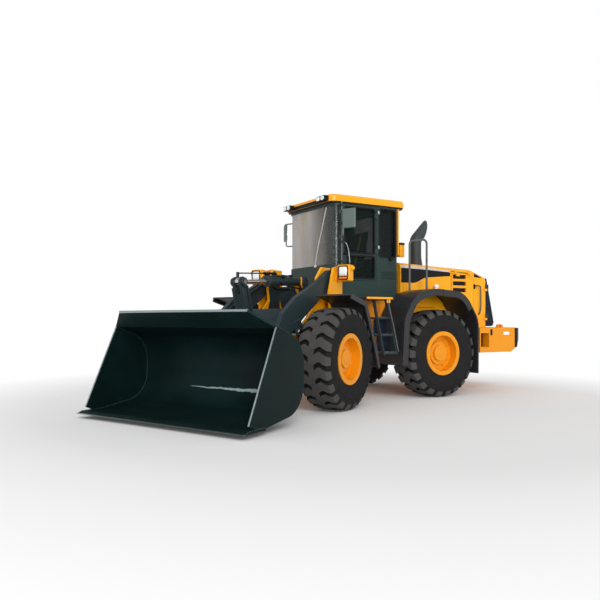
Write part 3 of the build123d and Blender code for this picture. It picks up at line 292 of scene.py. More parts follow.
# The windshield's material: dust with a painted reflection.
SCREEN = screen_with_dust_and_painted_reflection("windshield_glass", srgb(184, 179, 176), 0.92, 0.42)
PANE = glass("side_glass", srgb(14, 20, 20), 0.72)
DOOR_PANE = glass("door_glass", srgb(18, 30, 27), 0.46)
# The mirror cases: their dark green paint made lighter, partway toward a painted reflection.
MIRROR_PAINTED_REFLECTION = painted("mirror_satin_painted_reflection", srgb(92, 106, 102), 0.45, 0.1, srgb(130, 142, 138), 0.3)
PALE = painted("pale_satin", srgb(206, 206, 198), 0.4)
NAVY = painted("riser_satin", srgb(20, 30, 42), 0.5, 0.0, srgb(80, 92, 104), 0.4, gloss=0.2)
SHADE = painted("seam_shade", srgb(112, 58, 12), 0.6, gloss=0.2)
WEBBING = woven("belt_webbing", srgb(196, 204, 48), 900)
FABRIC = woven("seat_cloth", srgb(38, 42, 48))
RED = lens("red_lens", srgb(190, 20, 16))
AMBER = lens("amber_lens", srgb(240, 120, 30))
CLEAR = lens("clear_lens", srgb(236, 240, 240), 0.15)
SILVER = film("silver_film", srgb(196, 197, 196), 0.35)
WHITE = film("white_film", srgb(244, 244, 242), 0.4)
WORN = metal("worn_steel", srgb(168, 182, 184), 0.38, (4, 1, 1))


PALE_STREAK_Z = 0.377


def bucket_paint():
    """Dark bucket paint: rubbed thin inside, a pale streak low on the back wall, and bright worn edges."""
    nodes = Nodes("bucket_paint")
    cloud = nodes.noise(1.4, 7)
    scratch = nodes.ramp(nodes.noise(9, 8, 0.75, (1, 1, 6)), 0, 0.12, 0.58, 0.8)
    body = nodes.mix(nodes.ramp(cloud, 0, 1), srgb(9, 25, 24), srgb(17, 36, 37))
    body = nodes.mix(scratch, body, srgb(60, 82, 84))
    body = nodes.mix(bucket_pale_streak(nodes), body, srgb(150, 172, 170))
    normal, mask = nodes.edges(0.008)
    body = nodes.mix(nodes.ramp(mask, 0, 0.45, 0, 1), body, srgb(120, 142, 145))
    nodes.set(Base_Color=body)
    nodes.set(Roughness=nodes.ramp(cloud, 0.42, 0.58))
    nodes.set(Normal=nodes.bump(nodes.noise(120, 4), 0.04, 0.003, normal))
    nodes.set(Specular_IOR_Level=0.1)
    return nodes.material


def bucket_pale_streak(nodes):
    """A mask of one long pale streak inside the bucket, thin at its far end and thicker toward the left."""
    def measured(vector, direction):
        dot = nodes.add("ShaderNodeVectorMath", operation="DOT_PRODUCT")
        nodes.join(vector, dot.inputs[0])
        dot.inputs[1].default_value = direction
        return dot.outputs["Value"]
    ahead = FRONT.to_3x3() @ Vector((1, 0, 0))
    across = FRONT.to_3x3() @ Vector((0, 1, 0))
    reach = nodes.math("SUBTRACT", measured(nodes.place, across), across.dot(FRONT.translation))
    height = measured(nodes.place, (0, 0, 1))
    wave = nodes.ramp(nodes.noise(6, 4), -0.012, 0.012)
    off = nodes.math("ABSOLUTE", nodes.math("ADD", nodes.math("SUBTRACT", height, PALE_STREAK_Z), wave))
    half = nodes.ramp(reach, 0.003, 0.022, -0.45, 0.75)
    streak = nodes.ramp(nodes.math("DIVIDE", off, half), 0.9, 0.0, 0.6, 1.1)
    streak = nodes.math("MULTIPLY", streak, nodes.ramp(reach, 0, 1, -0.48, -0.35))
    facing = nodes.add("ShaderNodeNewGeometry").outputs["Normal"]
    return nodes.math("MULTIPLY", streak, nodes.ramp(measured(facing, ahead), 0, 1, 0.0, 0.1))


BUCKET = bucket_paint()
LOOKS = {
    "yellow_paint": YELLOW, "dark_cab_paint": TEAL, "chassis_paint": SHADED_YELLOW, "boom_paint": SLATE,
    "bucket_paint": BUCKET, "chrome_rod": CHROME, "tyre_rubber": TYRE, "wheel_paint": WHEEL,
    "clear_glass": PANE, "black_plastic": BLACK, "dark_steel": SLATE, "engine_iron": IRON,
    "seat_fabric": FABRIC, "red_lens": RED,
}
OWN_LOOKS = {"windshield": SCREEN, "handrails": TUBE, "exhaust_stack": STACK, "door_glass": DOOR_PANE,
             "mirrors": MIRROR_PAINTED_REFLECTION, "counterweight": TAIL}
OWN_LOOKS.update({f"fender_{end}_{side}": FENDER_PAINTED_SHEEN for end in ENDS for side, sign in SIDES})

# The record's slot that a look stands for, where a piece names no other.
USUAL_SLOT = {
    BLACK: "black_plastic", YELLOW: "yellow_paint", SHADE: "yellow_paint", TEAL: "dark_cab_paint",
    TUBE: "dark_steel", NAVY: "dark_steel", SILVER: "dark_steel", CLEAR: "clear_glass", WHITE: "clear_glass",
    LINER: "seat_fabric", WEBBING: "seat_fabric", STEEL: "chrome_rod", AMBER: "clear_glass",
    SLATE: "boom_paint", BUCKET: "bucket_paint", WORN: "bucket_paint",
}
for row in frame["record"]["subparts"]:
    node = NODES[row["node"]]
    node.data.materials.clear()
    node.data.materials.append(OWN_LOOKS.get(row["node"], LOOKS[row["material_slot"]]))


# Building pieces

def spread(point, axis, level):
    """A flat point lifted into space: its two numbers are the axes other than the given one, in order."""
    u, v = point
    return {"x": (level, u, v), "y": (u, level, v), "z": (u, v, level)}[axis]


def rectangle(low, high):
    return [(low[0], low[1]), (high[0], low[1]), (high[0], high[1]), (low[0], high[1])]


def home(body):
    """The half's drawing that a body's pieces are made in."""
    return FRONT if body in FRONT_BODIES else REAR


def circle(middle, turn, radius, sides):
    """Points round a centre, on the plane that a turn gives."""
    steps = [2 * math.pi * i / sides for i in range(sides)]
    return [middle + turn @ Vector((radius * math.cos(a), radius * math.sin(a), 0)) for a in steps]


class Form:
    """A mesh being built in one half's own drawing, in metres."""

    def __init__(self):
        self.mesh = bmesh.new()

    def skin(self, rings, caps=True, around=False):
        """Faces between closed rings of equal count, with end caps or joined round to the first ring."""
        loops = [[self.mesh.verts.new(point) for point in ring] for ring in rings]
        pairs = list(zip(loops, loops[1:]))
        if around:
            pairs.append((loops[-1], loops[0]))
        for first, second in pairs:
            for i in range(len(first)):
                j = (i + 1) % len(first)
                self.mesh.faces.new((first[i], first[j], second[j], second[i]))
        if caps and not around:
            self.mesh.faces.new(loops[0])
            self.mesh.faces.new(loops[-1])

    def prism(self, outline, axis, start, end):
        """An outline drawn out along an axis between two levels, given in either order."""
        levels = sorted((start, end))
        self.skin([[spread(point, axis, level) for point in outline] for level in levels])

    def box(self, corner, opposite):
        """A box between two opposite corners."""
        low = [min(pair) for pair in zip(corner, opposite)]
        high = [max(pair) for pair in zip(corner, opposite)]
        self.prism(rectangle(low, high), "z", low[2], high[2])

    def band(self, outer, inner, axis, start, end):
        """A flat ring between two outlines with the same number of points."""
        corners = [(outer, start), (outer, end), (inner, end), (inner, start)]
        rings = [[spread(line[i], axis, level) for line, level in corners] for i in range(len(outer))]
        self.skin(rings, around=True)

    def rod(self, start, end, radius, end_radius=None, sides=16):
        """A round bar or cone between two points."""
        start, end = Vector(start), Vector(end)
        turn = (end - start).to_track_quat("Z", "Y")
        last = radius if end_radius is None else end_radius
        self.skin([circle(start, turn, radius, sides), circle(end, turn, last, sides)])

    def pin(self, x, z, start, end, radius, end_radius=None, sides=16):
        """A round bar straight across the machine, from one y to another."""
        self.rod((x, start, z), (x, end, z), radius, end_radius, sides)

    def pipe(self, start, end, outer, inner, sides=20):
        """A round tube between two points, open at both ends."""
        start, end = Vector(start), Vector(end)
        turn = (end - start).to_track_quat("Z", "Y")
        walls = ((start, outer), (end, outer), (end, inner), (start, inner))
        self.skin([circle(middle, turn, radius, sides) for middle, radius in walls], around=True)

    def lathe(self, profile, centre, axis, sides=48):
        """A closed profile of (along, radius) points turned about an axis through a centre."""
        rings = []
        for i in range(sides):
            angle = 2 * math.pi * i / sides
            ring = [spread((radius * math.cos(angle), radius * math.sin(angle)), axis, along)
                    for along, radius in profile]
            rings.append([Vector(point) + Vector(centre) for point in ring])
        self.skin(rings, around=True)

    def done(self, name, material, body="rear_frame", slot=None, place=None, bevel=0.0, smooth=40,
             second=None):
        """The finished piece: smooth up to an angle, edges rounded, riding on its body."""
        bmesh.ops.recalc_face_normals(self.mesh, faces=self.mesh.faces)
        mesh = bpy.data.meshes.new(name)
        self.mesh.to_mesh(mesh)
        self.mesh.free()
        mesh.transform(home(body) if place is None else place)
        mesh.polygons.foreach_set("use_smooth", [True] * len(mesh.polygons))
        mesh.set_sharp_from_angle(angle=math.radians(smooth))
        mesh.materials.append(material)
        if second:
            mesh.materials.append(second)
        thing = bpy.data.objects.new(name, mesh)
        bpy.context.collection.objects.link(thing)
        if bevel:
            rounding = thing.modifiers.new("rounding", "BEVEL")
            rounding.width = bevel
            rounding.segments = 2
            rounding.limit_method = "ANGLE"
        slot = slot or USUAL_SLOT[material]
        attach(thing, body)
        return thing


def smooth_line(name, points, steps):
    """A smooth curve led by a few given points."""
    curve = bpy.data.curves.new(name, "CURVE")
    curve.dimensions = "3D"
    curve.resolution_u = steps
    spline = curve.splines.new("NURBS")
    spline.points.add(len(points) - 1)
    for target, point in zip(spline.points, points):
        target.co = (*point, 1)
    spline.order_u = 3
    spline.use_endpoint_u = True
    return curve


def thicken(curve, radius):
    """Gives a curve a round section with closed ends."""
    curve.bevel_depth = radius
    curve.bevel_resolution = 3
    curve.use_fill_caps = True


def tube(name, points, radius, material, body="rear_frame", slot=None):
    """A bent bar or pipe that rides on one body."""
    curve = smooth_line(name, [home(body) @ Vector(point) for point in points], 8)
    thicken(curve, radius)
    curve.materials.append(material)
    thing = bpy.data.objects.new(name, curve)
    bpy.context.collection.objects.link(thing)
    slot = slot or USUAL_SLOT[material]
    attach(thing, body)


def rounded(low, high, radius, steps=5):
    """A rectangle with round corners."""
    corners = [(high[0] - radius, high[1] - radius, 0), (low[0] + radius, high[1] - radius, 90),
               (low[0] + radius, low[1] + radius, 180), (high[0] - radius, low[1] + radius, 270)]
    points = []
    for x, y, first in corners:
        for i in range(steps + 1):
            angle = math.radians(first + 90 * i / steps)
            points.append((x + radius * math.cos(angle), y + radius * math.sin(angle)))
    return points


def mirrored(points, sign):
    """Points drawn on the left, on the side that the sign gives."""
    return [(x, sign * y, z) for x, y, z in points]


# Tyres and rims

HALF_WHEELBASE = 1.515
HALF_TREAD = 1.03
TYRE_RADIUS = 0.735
TYRE_HALF = 0.26
CARCASS_RADIUS = 0.688
LUGS = 22
LUG_PITCH = 2 * math.pi / LUGS
LUG_FLANK = 0.05
STUDS = 12
STUD_CIRCLE = 0.247
STUD_RADIUS = 0.012
STUD_Y = 0.09


def tread_radius(y):
    """Outer radius of a lug across the tread, falling away over the shoulder."""
    across = abs(y) / TYRE_HALF
    return TYRE_RADIUS - 0.012 * across ** 2 - 0.075 * max(0, across - 0.84) ** 1.35 / 0.16 ** 1.35


def carcass_radius(y):
    across = abs(y) / TYRE_HALF
    return CARCASS_RADIUS - 0.006 * across ** 2 - 0.075 * max(0, across - 0.82) ** 1.3 / 0.18 ** 1.3


def polar(radius, angle, y):
    return (radius * math.cos(angle), y, radius * math.sin(angle))


def tyre_lug(form, side, start):
    """One wavy lug from the shoulder to just past the middle of the tread."""
    wave = ((0.262, 0.00, 0.29), (0.25, 0.00, 0.31), (0.225, 0.03, 0.33), (0.185, 0.12, 0.34),
            (0.15, 0.24, 0.34), (0.12, 0.30, 0.34), (0.09, 0.24, 0.34), (0.06, 0.13, 0.34),
            (0.02, 0.03, 0.33), (-0.02, 0.08, 0.30), (-0.045, 0.16, 0.24))
    rings = []
    for y, shift, half in wave:
        middle = start + shift * LUG_PITCH
        top = tread_radius(y) - (0.0015 if side < 0 else 0)
        base = min(carcass_radius(y), top) - 0.02
        foot = half + LUG_FLANK
        corners = ((base, -foot), (top, -half), (top, half), (base, foot))
        rings.append([polar(radius, middle + off * LUG_PITCH, side * y) for radius, off in corners])
    form.skin(rings)


def make_tyre(end, side, sign):
    """One tyre in place of its solid, and its wheel's studs, cap and valve."""
    form = Form()
    wall = [(0.372, 0.205), (0.374, 0.222), (0.392, 0.236), (0.408, 0.238), (0.414, 0.234), (0.45, 0.25),
            (0.50, 0.259), (0.54, 0.2615), (0.546, 0.2655), (0.556, 0.2655), (0.562, 0.2615), (0.60, 0.258)]
    crown = [(carcass_radius(y), y) for y in (0.25, 0.235, 0.215, 0.18, 0.10, 0.0)]
    half = [(y, radius) for radius, y in wall + crown]
    profile = half + [(-y, radius) for y, radius in reversed(half[:-1])]
    inside = [(-0.2, 0.36), (0.2, 0.36)]
    form.lathe(profile + inside, (0, 0, 0), "y", 88)
    for i in range(LUGS):
        tyre_lug(form, 1, i * LUG_PITCH)
        tyre_lug(form, -1, (i + 0.5) * LUG_PITCH)
    for face in form.mesh.faces:
        if all(math.hypot(v.co.x, v.co.z) > carcass_radius(v.co.y) + 0.012 for v in face.verts):
            face.material_index = 1
    turn = Matrix.Rotation(math.pi if sign < 0 else 0, 4, "Z")
    base = FRONT if end == "front" else REAR
    middle = (HALF_WHEELBASE if end == "front" else -HALF_WHEELBASE, sign * HALF_TREAD, TYRE_RADIUS)
    place = base @ Matrix.Translation(middle) @ turn
    body = f"wheel_{end}_{side}"
    thing = form.done(f"tyre_tread_{end}_{side}", TYRE, body, "tyre_rubber", place, 0.006, 30, TREAD)
    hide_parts(f"tyre_{end}_{side}")
    studs = Form()
    for i in range(STUDS):
        x, _, z = polar(STUD_CIRCLE, 2 * math.pi * i / STUDS, 0)
        studs.pin(x, z, STUD_Y - 0.004, STUD_Y + 0.006, 1.5 * STUD_RADIUS, sides=12)
        studs.pin(x, z, STUD_Y, STUD_Y + 1.6 * STUD_RADIUS, STUD_RADIUS, sides=6)
    studs.lathe([(0.16, 0.0), (0.16, 0.075), (0.172, 0.07), (0.176, 0.05), (0.176, 0.0)], (0, 0, 0), "y", 32)
    studs.pin(0.31, 0, 0.17, 0.225, 0.008, 0.006)
    studs.done(f"wheel_studs_{end}_{side}", WHEEL, body, "wheel_paint", place, 0.002)


for end in ENDS:
    for side, sign in SIDES:
        make_tyre(end, side, sign)


# Cab

CAB_SIDE = 0.70


def gasket(name, low, high, body, sign=1):
    """Rubber round a side window, on the cab's outer face."""
    form = Form()
    outer = rounded((low[0] - 0.016, low[1] - 0.016), (high[0] + 0.016, high[1] + 0.016), 0.05)
    inner = rounded((low[0] + 0.012, low[1] + 0.012), (high[0] - 0.012, high[1] - 0.012), 0.035)
    form.band(outer, inner, "y", sign * (CAB_SIDE - 0.02), sign * (CAB_SIDE + 0.006))
    form.done(name, BLACK, body, "black_plastic", bevel=0.003)


def make_cab_trim():
    """Rubbers, trim, lamp lenses, mirrors' glass, door hardware and the wiper."""
    gasket("gasket_door_upper", (-0.515, 2.40), (0.093, 3.145), "cab_door")
    gasket("gasket_door_lower", (-0.515, 1.985), (0.048, 2.35), "cab_door")
    for side, sign in SIDES:
        gasket(f"gasket_quarter_{side}", (-0.966, 2.36), (-0.62, 3.16), "rear_frame", sign)
    gasket("gasket_right_high", (-0.50, 2.40), (0.098, 3.13), "rear_frame", -1)
    gasket("gasket_right_low", (-0.30, 2.01), (0.098, 2.32), "rear_frame", -1)
    trim = Form()
    outer = rounded((-1.185, -0.703), (0.362, 0.703), 0.11)
    inner = rounded((-1.10, -0.62), (0.28, 0.62), 0.09)
    trim.band(outer, inner, "z", 3.196, 3.224)
    trim.done("roof_underside_trim", BLACK, bevel=0.006)
    liner = Form()
    liner.prism(rounded((-0.98, -0.63), (0.22, 0.63), 0.09), "z", 3.176, 3.19)
    liner.done("cab_headliner", LINER, bevel=0.004)
    skirt = Form()
    for side, sign in SIDES:
        skirt.box((-1.02, sign * 0.69, 1.668), (0.16, sign * 0.7045, 1.762))
    skirt.done("cab_skirt", TEAL, bevel=0.003)
    lenses = Form()
    for y in (-0.585, -0.465, 0.465, 0.585):
        lenses.prism(rounded((y - 0.044, 3.237), (y + 0.044, 3.303), 0.02), "x", 0.46, 0.472)
    lenses.done("roof_lamp_lenses", CLEAR, bevel=0.003)
    brow = Form()
    brow.prism(rounded((-0.60, 3.222), (0.60, 3.284), 0.012), "x", 0.366, 0.378)
    brow.done("roof_front_trim", BLACK, bevel=0.003)
    for side, sign in SIDES:
        mirror = Form()
        mirror.prism(rounded((-0.098, -0.138), (0.098, 0.138), 0.03), "x", -0.0225, -0.018)
        turn = Matrix.Rotation(sign * math.radians(24), 4, "Z")
        place = REAR @ Matrix.Translation((0.217, sign * 0.972, 2.905)) @ turn
        mirror.done(f"mirror_glass_{side}", CHROME, "rear_frame", "chrome_rod", place, 0.001)
    knob = Form()
    knob.lathe([(0.70, 0.0), (0.70, 0.032), (0.708, 0.034), (0.712, 0.018), (0.73, 0.018), (0.736, 0.03),
                (0.752, 0.03), (0.758, 0.02), (0.758, 0.0)], (-0.849, 0, 2.327), "y", 28)
    knob.done("filler_knob", BLACK)
    panel = Form()
    for side, sign in SIDES:
        level = sign * CAB_SIDE
        root = level - sign * 0.004
        outer = rectangle((-1.02, 1.775), (-0.62, 2.125))
        inner = rectangle((-1.013, 1.782), (-0.627, 2.118))
        panel.band(outer, inner, "y", root, level + sign * 0.002)
        for i in range(5):
            z = 1.99 + 0.026 * i
            panel.prism([(root, z), (root, z + 0.012), (level + sign * 0.012, z + 0.003)], "x", -0.98, -0.66)
    panel.done("side_panel_louvres", TEAL, bevel=0.0015)
    tube("door_post_tube", [(0.186, 0.735, 2.19), (0.186, 0.735, 2.7), (0.186, 0.735, 3.21)], 0.014, TUBE)
    clamps = Form()
    for z in (2.24, 2.56, 2.86, 3.16):
        clamps.box((0.17, 0.69, z - 0.02), (0.202, 0.754, z + 0.02))
    clamps.done("door_post_clamps", SLATE, "rear_frame", "dark_steel", bevel=0.004)
    grab = [(0.125, CAB_SIDE, 2.56), (0.125, 0.748, 2.565), (0.07, 0.752, 2.47), (0.045, 0.752, 2.33),
            (0.035, 0.752, 2.19), (0.035, CAB_SIDE, 2.18)]
    tube("door_grab_bar", grab, 0.008, STEEL, "cab_door")
    handle = Form()
    handle.box((0.055, CAB_SIDE, 2.356), (0.135, 0.712, 2.394))
    handle.box((0.065, 0.71, 2.366), (0.128, 0.738, 2.384))
    handle.done("door_handle", BLACK, "cab_door", bevel=0.005)
    caps = Form()
    for z in (2.465, 3.05):
        caps.box((-0.61, CAB_SIDE, z + 0.015), (-0.572, 0.728, z + 0.075))
    caps.done("door_hinge_caps", STEEL, bevel=0.006)
    wiper = Form()
    wiper.rod((0.335, 0.22, 2.19), (0.37, 0.22, 2.19), 0.022)
    wiper.rod((0.362, 0.22, 2.19), (0.352, 0.33, 2.62), 0.007, 0.005)
    wiper.box((0.336, -0.004, -0.40), (0.35, 0.004, 0.40))
    blade = list(wiper.mesh.verts)[-8:]
    turn = Matrix.Translation((0, 0.385, 2.76)) @ Matrix.Rotation(math.radians(-20.9), 4, "X")
    bmesh.ops.transform(wiper.mesh, matrix=turn, verts=blade)
    wiper.done("wiper", PALE, "rear_frame", "dark_steel", bevel=0.0015)
    case = Form()
    case.box((-1.245, 0.525, 2.39), (-1.14, 0.62, 2.60))
    case.box((-1.145, 0.55, 2.43), (-1.035, 0.60, 2.46))
    case.box((-1.145, 0.55, 2.53), (-1.035, 0.60, 2.56))
    case.done("rear_case", YELLOW, bevel=0.010)
    cap = Form()
    rings = []
    for z, grow in ((2.598, 0.004), (2.612, 0.008), (2.628, 0.008), (2.638, -0.004)):
        flat = rounded((-1.245 - grow, 0.525 - grow), (-1.14 + grow, 0.62 + grow), 0.02)
        rings.append([(x, y, z) for x, y in flat])
    cap.skin(rings)
    cap.done("rear_case_cap", BLACK, bevel=0.002)
    strip = Form()
    strip.box((-1.044, 0.66, 2.40), (-1.026, 0.7035, 3.19))
    strip.done("cab_corner_strip", YELLOW, bevel=0.003)


make_cab_trim()


# Hood and tail

HOOD_SIDE = 0.62
HOOD_ROUND = 0.09
WIRES = 41
WIRE_PITCH = 0.0245
HOOD_TOPS = ((-1.15, 2.294), (-2.90, 2.230), (-3.24, 2.110))


def along(x, points):
    """A height on a line of (x, z) points that runs toward the rear."""
    for (x1, z1), (x2, z2) in zip(points, points[1:]):
        if x >= x2:
            return z1 + (z2 - z1) * (x - x1) / (x2 - x1)
    return points[-1][1]


def edge_of(points, shift=0.0):
    """A strip's edge: the height along a line of points, moved up or down."""
    return lambda x: along(x, points) + shift


def hood_side(x, z, proud=0.0):
    """A point on the hood's flank or its rounded shoulder."""
    start = along(x, HOOD_TOPS) - HOOD_ROUND
    if z <= start:
        return Vector((x, HOOD_SIDE + proud, z))
    angle = math.asin(min(1, (z - start) / HOOD_ROUND))
    reach = HOOD_ROUND + proud
    return Vector((x, HOOD_SIDE - HOOD_ROUND + reach * math.cos(angle), start + reach * math.sin(angle)))


def hood_strip(form, x_from, x_to, lower, upper, sign, columns=28, rows=5, proud=0.0018):
    """A thin film on the hood between two heights given as functions of x."""
    rings = []
    for i in range(columns + 1):
        x = x_from + (x_to - x_from) * i / columns
        low, high = lower(x), upper(x)
        heights = [low + (high - low) * k / rows for k in range(rows + 1)]
        ring = [hood_side(x, z, proud) for z in heights]
        ring += [hood_side(x, z, -0.002) for z in reversed(heights)]
        rings.append([Vector((p.x, sign * p.y, p.z)) for p in ring])
    form.skin(rings)


def swoosh(x):
    """Lower edge of the dark flank band: low in front, then swept up toward the rear."""
    share = min(1, max(0, (-1.44 - x) / 0.34))
    rise = share * share * (3 - 2 * share)
    return 1.945 + 0.108 * rise + 0.04 * max(0, (-1.78 - x) / 0.55)


def make_hood_trim():
    """Flank bands, vents, painted shade along a crease and in the tail's pockets, latches, grab bars, tail strips
    and plates, seams and the grille's wires.
    """
    crease_shade_line = ((-2.335, 2.184), (-2.73, 2.162), (-2.84, 2.125))
    vent_top = ((-2.94, 2.168), (-3.15, 2.084))
    vent_low = ((-2.94, 2.093), (-3.15, 2.081))
    stripe_top = ((-1.16, 2.246), (-1.72, 2.232), (-2.33, 2.186))
    stripe_low = ((-1.16, 2.203), (-1.72, 2.190), (-2.33, 2.162))
    for side, sign in SIDES:
        band = Form()
        hood_strip(band, -1.165, -2.328, swoosh, edge_of(stripe_low, -0.002), sign)
        band.done(f"flank_band_{side}", BLACK)
        stripe = Form()
        hood_strip(stripe, -1.165, -2.328, edge_of(stripe_low), edge_of(stripe_top), sign)
        stripe.done(f"flank_stripe_{side}", SILVER)
        # Painted shade: a dark strip along the hood's crease; the second strip is the vent.
        dark = Form()
        hood_strip(dark, -2.335, -2.84, edge_of(crease_shade_line, -0.006), edge_of(crease_shade_line, 0.006), sign, rows=2)
        hood_strip(dark, -2.94, -3.15, edge_of(vent_low), edge_of(vent_top), sign, 8)
        dark.done(f"hood_vent_and_crease_shade_{side}", BLACK)
        screen = Form()
        level = sign * (HOOD_SIDE - 0.034)
        screen.box((-2.75, level - 0.004, 1.79), (-2.39, level + 0.004, 2.135))
        screen.done(f"louvre_screen_{side}", BLACK, f"hood_door_{side}")
        knob = Form()
        knob.box((-2.965, sign * HOOD_SIDE - 0.01, 1.872), (-2.925, sign * HOOD_SIDE + 0.01, 1.962))
        knob.pin(-2.945, 1.93, sign * HOOD_SIDE, sign * (HOOD_SIDE + 0.05), 0.012)
        knob.done(f"hood_latch_{side}", BLACK, bevel=0.004)
        bar = [(-2.945, 0.62, 1.93), (-2.945, 0.675, 1.935), (-3.055, 0.675, 1.93), (-3.058, 0.675, 1.80),
               (-3.058, 0.675, 1.42), (-3.058, 0.62, 1.40)]
        tube(f"hood_grab_bar_{side}", mirrored(bar, sign), 0.013, TUBE)
        plate = Form()
        plate.box((-3.19, sign * 1.2, 1.028), (-3.047, sign * 1.203, 1.08))
        plate.done(f"tail_reflector_{side}", WHITE, bevel=0.001)
        strip = Form()
        face = [(-3.338, 1.198), (-3.548, 1.048), (-3.585, 1.085), (-3.366, 1.232)]
        feet = [(x, sign * y, 0.785 - 0.57 * (x + 3.338)) for x, y in face]
        strip.skin([feet, [(x, y, 1.148) for x, y, z in feet]])
        strip.done(f"tail_corner_strip_{side}", BLACK, bevel=0.008)
        # Painted shade: black plates at the back of the counterweight's pocket and over its slot stand for the
        # shade in the recess and the hole; the bolt heads sit in the pocket.
        pocket = Form()
        pocket.prism(rounded((-2.678, 0.818), (-2.478, 1.057), 0.02), "y", sign * 1.046, sign * 1.056)
        pocket.prism(rounded((-2.764, 1.022), (-2.708, 1.129), 0.012), "y", sign * 1.19, sign * 1.202)
        for z in (0.86, 0.938, 1.016):
            pocket.pin(-2.64, z, sign * 1.05, sign * 1.064, 0.014, sides=6)
        pocket.done(f"tail_pocket_shade_and_bolts_{side}", BLACK, bevel=0.003)
        filler = Form()
        profile = [(1.745, 0.0), (1.745, 0.03), (1.878, 0.03), (1.88, 0.043), (1.903, 0.043),
                   (1.918, 0.032), (1.924, 0.016), (1.924, 0.0)]
        filler.lathe(profile, (-1.897, sign * 0.715, 0), "z", 28)
        filler.done(f"filler_cap_{side}", WHITE)
        seams = Form()
        seams.box((-1.93, sign * 0.655, 1.508), (-1.10, sign * 0.6615, 1.515))
        seams.box((-2.358, sign * 0.61, 1.78), (-2.350, sign * 0.6212, 2.16))
        seams.box((-1.30, sign * 0.61, 1.80), (-1.293, sign * 0.6212, 1.945))
        seams.done(f"panel_seams_{side}", SHADE)
    cheeks = Form()
    cheek = [(-3.249, 2.082), (-3.277, 2.082), (-3.476, 1.25), (-3.446, 1.18), (-3.249, 1.18)]
    for side, sign in SIDES:
        cheeks.prism(cheek, "y", sign * 0.575, sign * 0.615)
    cheeks.done("grille_cheeks", NAVY, "rear_grille", bevel=0.008)
    fold = Form()
    for side, sign in SIDES:
        fold.box((-1.503, sign * 0.68, 1.80), (-1.497, sign * 1.282, 1.8065))
        fold.box((-1.503, sign * 1.272, 1.71), (-1.497, sign * 1.2825, 1.806))
    fold.done("fender_seam", BLACK)
    wires = Form()
    for i in range(WIRES):
        y = WIRE_PITCH * (i - (WIRES - 1) / 2)
        wires.rod((-3.455, y, 1.26), (-3.285, y, 2.03), 0.0035, sides=6)
    wires.done("grille_wires", IRON, "rear_grille", "dark_steel")


make_hood_trim()


# Front half: lamps, boom and bucket

LIFT_PIN = (1.870, 1.120)


def make_headlamps():
    """Bezels, lenses, indicators and side knobs."""
    for side, sign in SIDES:
        bezel = Form()
        low, high = sorted((sign * 0.74, sign * 0.91))
        outer = rounded((low, 1.908), (high, 2.132), 0.03)
        inner = rounded((low + 0.012, 1.92), (high - 0.012, 2.12), 0.02)
        bezel.band(outer, inner, "x", 0.90, 0.926)
        bezel.box((0.90, low + 0.005, 1.960), (0.922, high - 0.005, 1.970))
        bezel.done(f"headlamp_bezel_{side}", BLACK, "front_frame", bevel=0.003)
        lamp_lens = Form()
        bulge = [(0.90, 1.0), (0.914, 1.0), (0.922, 0.86), (0.927, 0.6), (0.929, 0.3)]
        middle = ((low + high) / 2, 2.043)
        rings = []
        for x, size in bulge:
            flat = rounded((-0.07 * size, -0.066 * size), (0.07 * size, 0.066 * size), 0.026 * size)
            rings.append([(x, middle[0] + y, middle[1] + z) for y, z in flat])
        lamp_lens.skin(rings)
        lamp_lens.done(f"headlamp_lens_{side}", CLEAR, "front_frame")
        turn_lamp = Form()
        turn_lamp.prism(rounded((low + 0.014, 1.923), (high - 0.014, 1.957), 0.010), "x", 0.90, 0.921)
        turn_lamp.done(f"indicator_{side}", AMBER, "front_frame", bevel=0.006)
        stalk = Form()
        end = sign * 0.965
        stalk.pin(0.835, 2.093, sign * 0.92, end, 0.038, 0.034)
        stalk.pin(0.835, 2.093, end, end + sign * 0.012, 0.034, 0.020)
        stalk.done(f"headlamp_knob_{side}", YELLOW, "front_frame", bevel=0.004)


make_headlamps()


def make_boom_trim():
    """Pin caps on the boom and the towers, and the pipes inside the arms."""
    pins = Form()
    x, z = LIFT_PIN
    for sign in (1, -1):
        pins.pin(x, z, sign * 0.618, sign * 0.640, 0.05)
        pins.pin(x + 0.02, z + 0.02, sign * 0.628, sign * 0.650, 0.014, sides=6)
    pins.done("boom_pin_caps", STEEL, "boom", bevel=0.003)
    caps = Form()
    for sign in (1, -1):
        for x, z, radius in ((0.80, 1.96, 0.085), (0.83, 1.36, 0.07)):
            caps.pin(x, z, sign * 0.68, sign * 0.694, radius, radius - 0.006, 28)
            for i in range(4):
                angle = math.radians(45 + 90 * i)
                bx, bz = x + 0.6 * radius * math.cos(angle), z + 0.6 * radius * math.sin(angle)
                caps.pin(bx, bz, sign * 0.69, sign * 0.706, 0.012, sides=6)
        for x, z in ((0.70, 1.28), (0.95, 1.28), (0.70, 1.62), (0.99, 1.62)):
            caps.pin(x, z, sign * 0.678, sign * 0.692, 0.013, sides=6)
    caps.done("tower_pin_caps", YELLOW, "front_frame", bevel=0.002)
    for side, sign in SIDES:
        line = [(0.98, 0.495, 1.99), (1.34, 0.495, 1.80), (1.90, 0.495, 1.57), (2.20, 0.495, 1.36),
                (2.34, 0.495, 1.12)]
        tube(f"boom_pipe_{side}", mirrored(line, sign), 0.014, SLATE, "boom")


make_boom_trim()


# Bellcrank, tilt cylinder and hoses

CRANK_PIVOT = Vector((2.255, 1.095))
CRANK_TOP = Vector((2.480, 1.830))
TILT_BASE = Vector((0.840, 1.920))


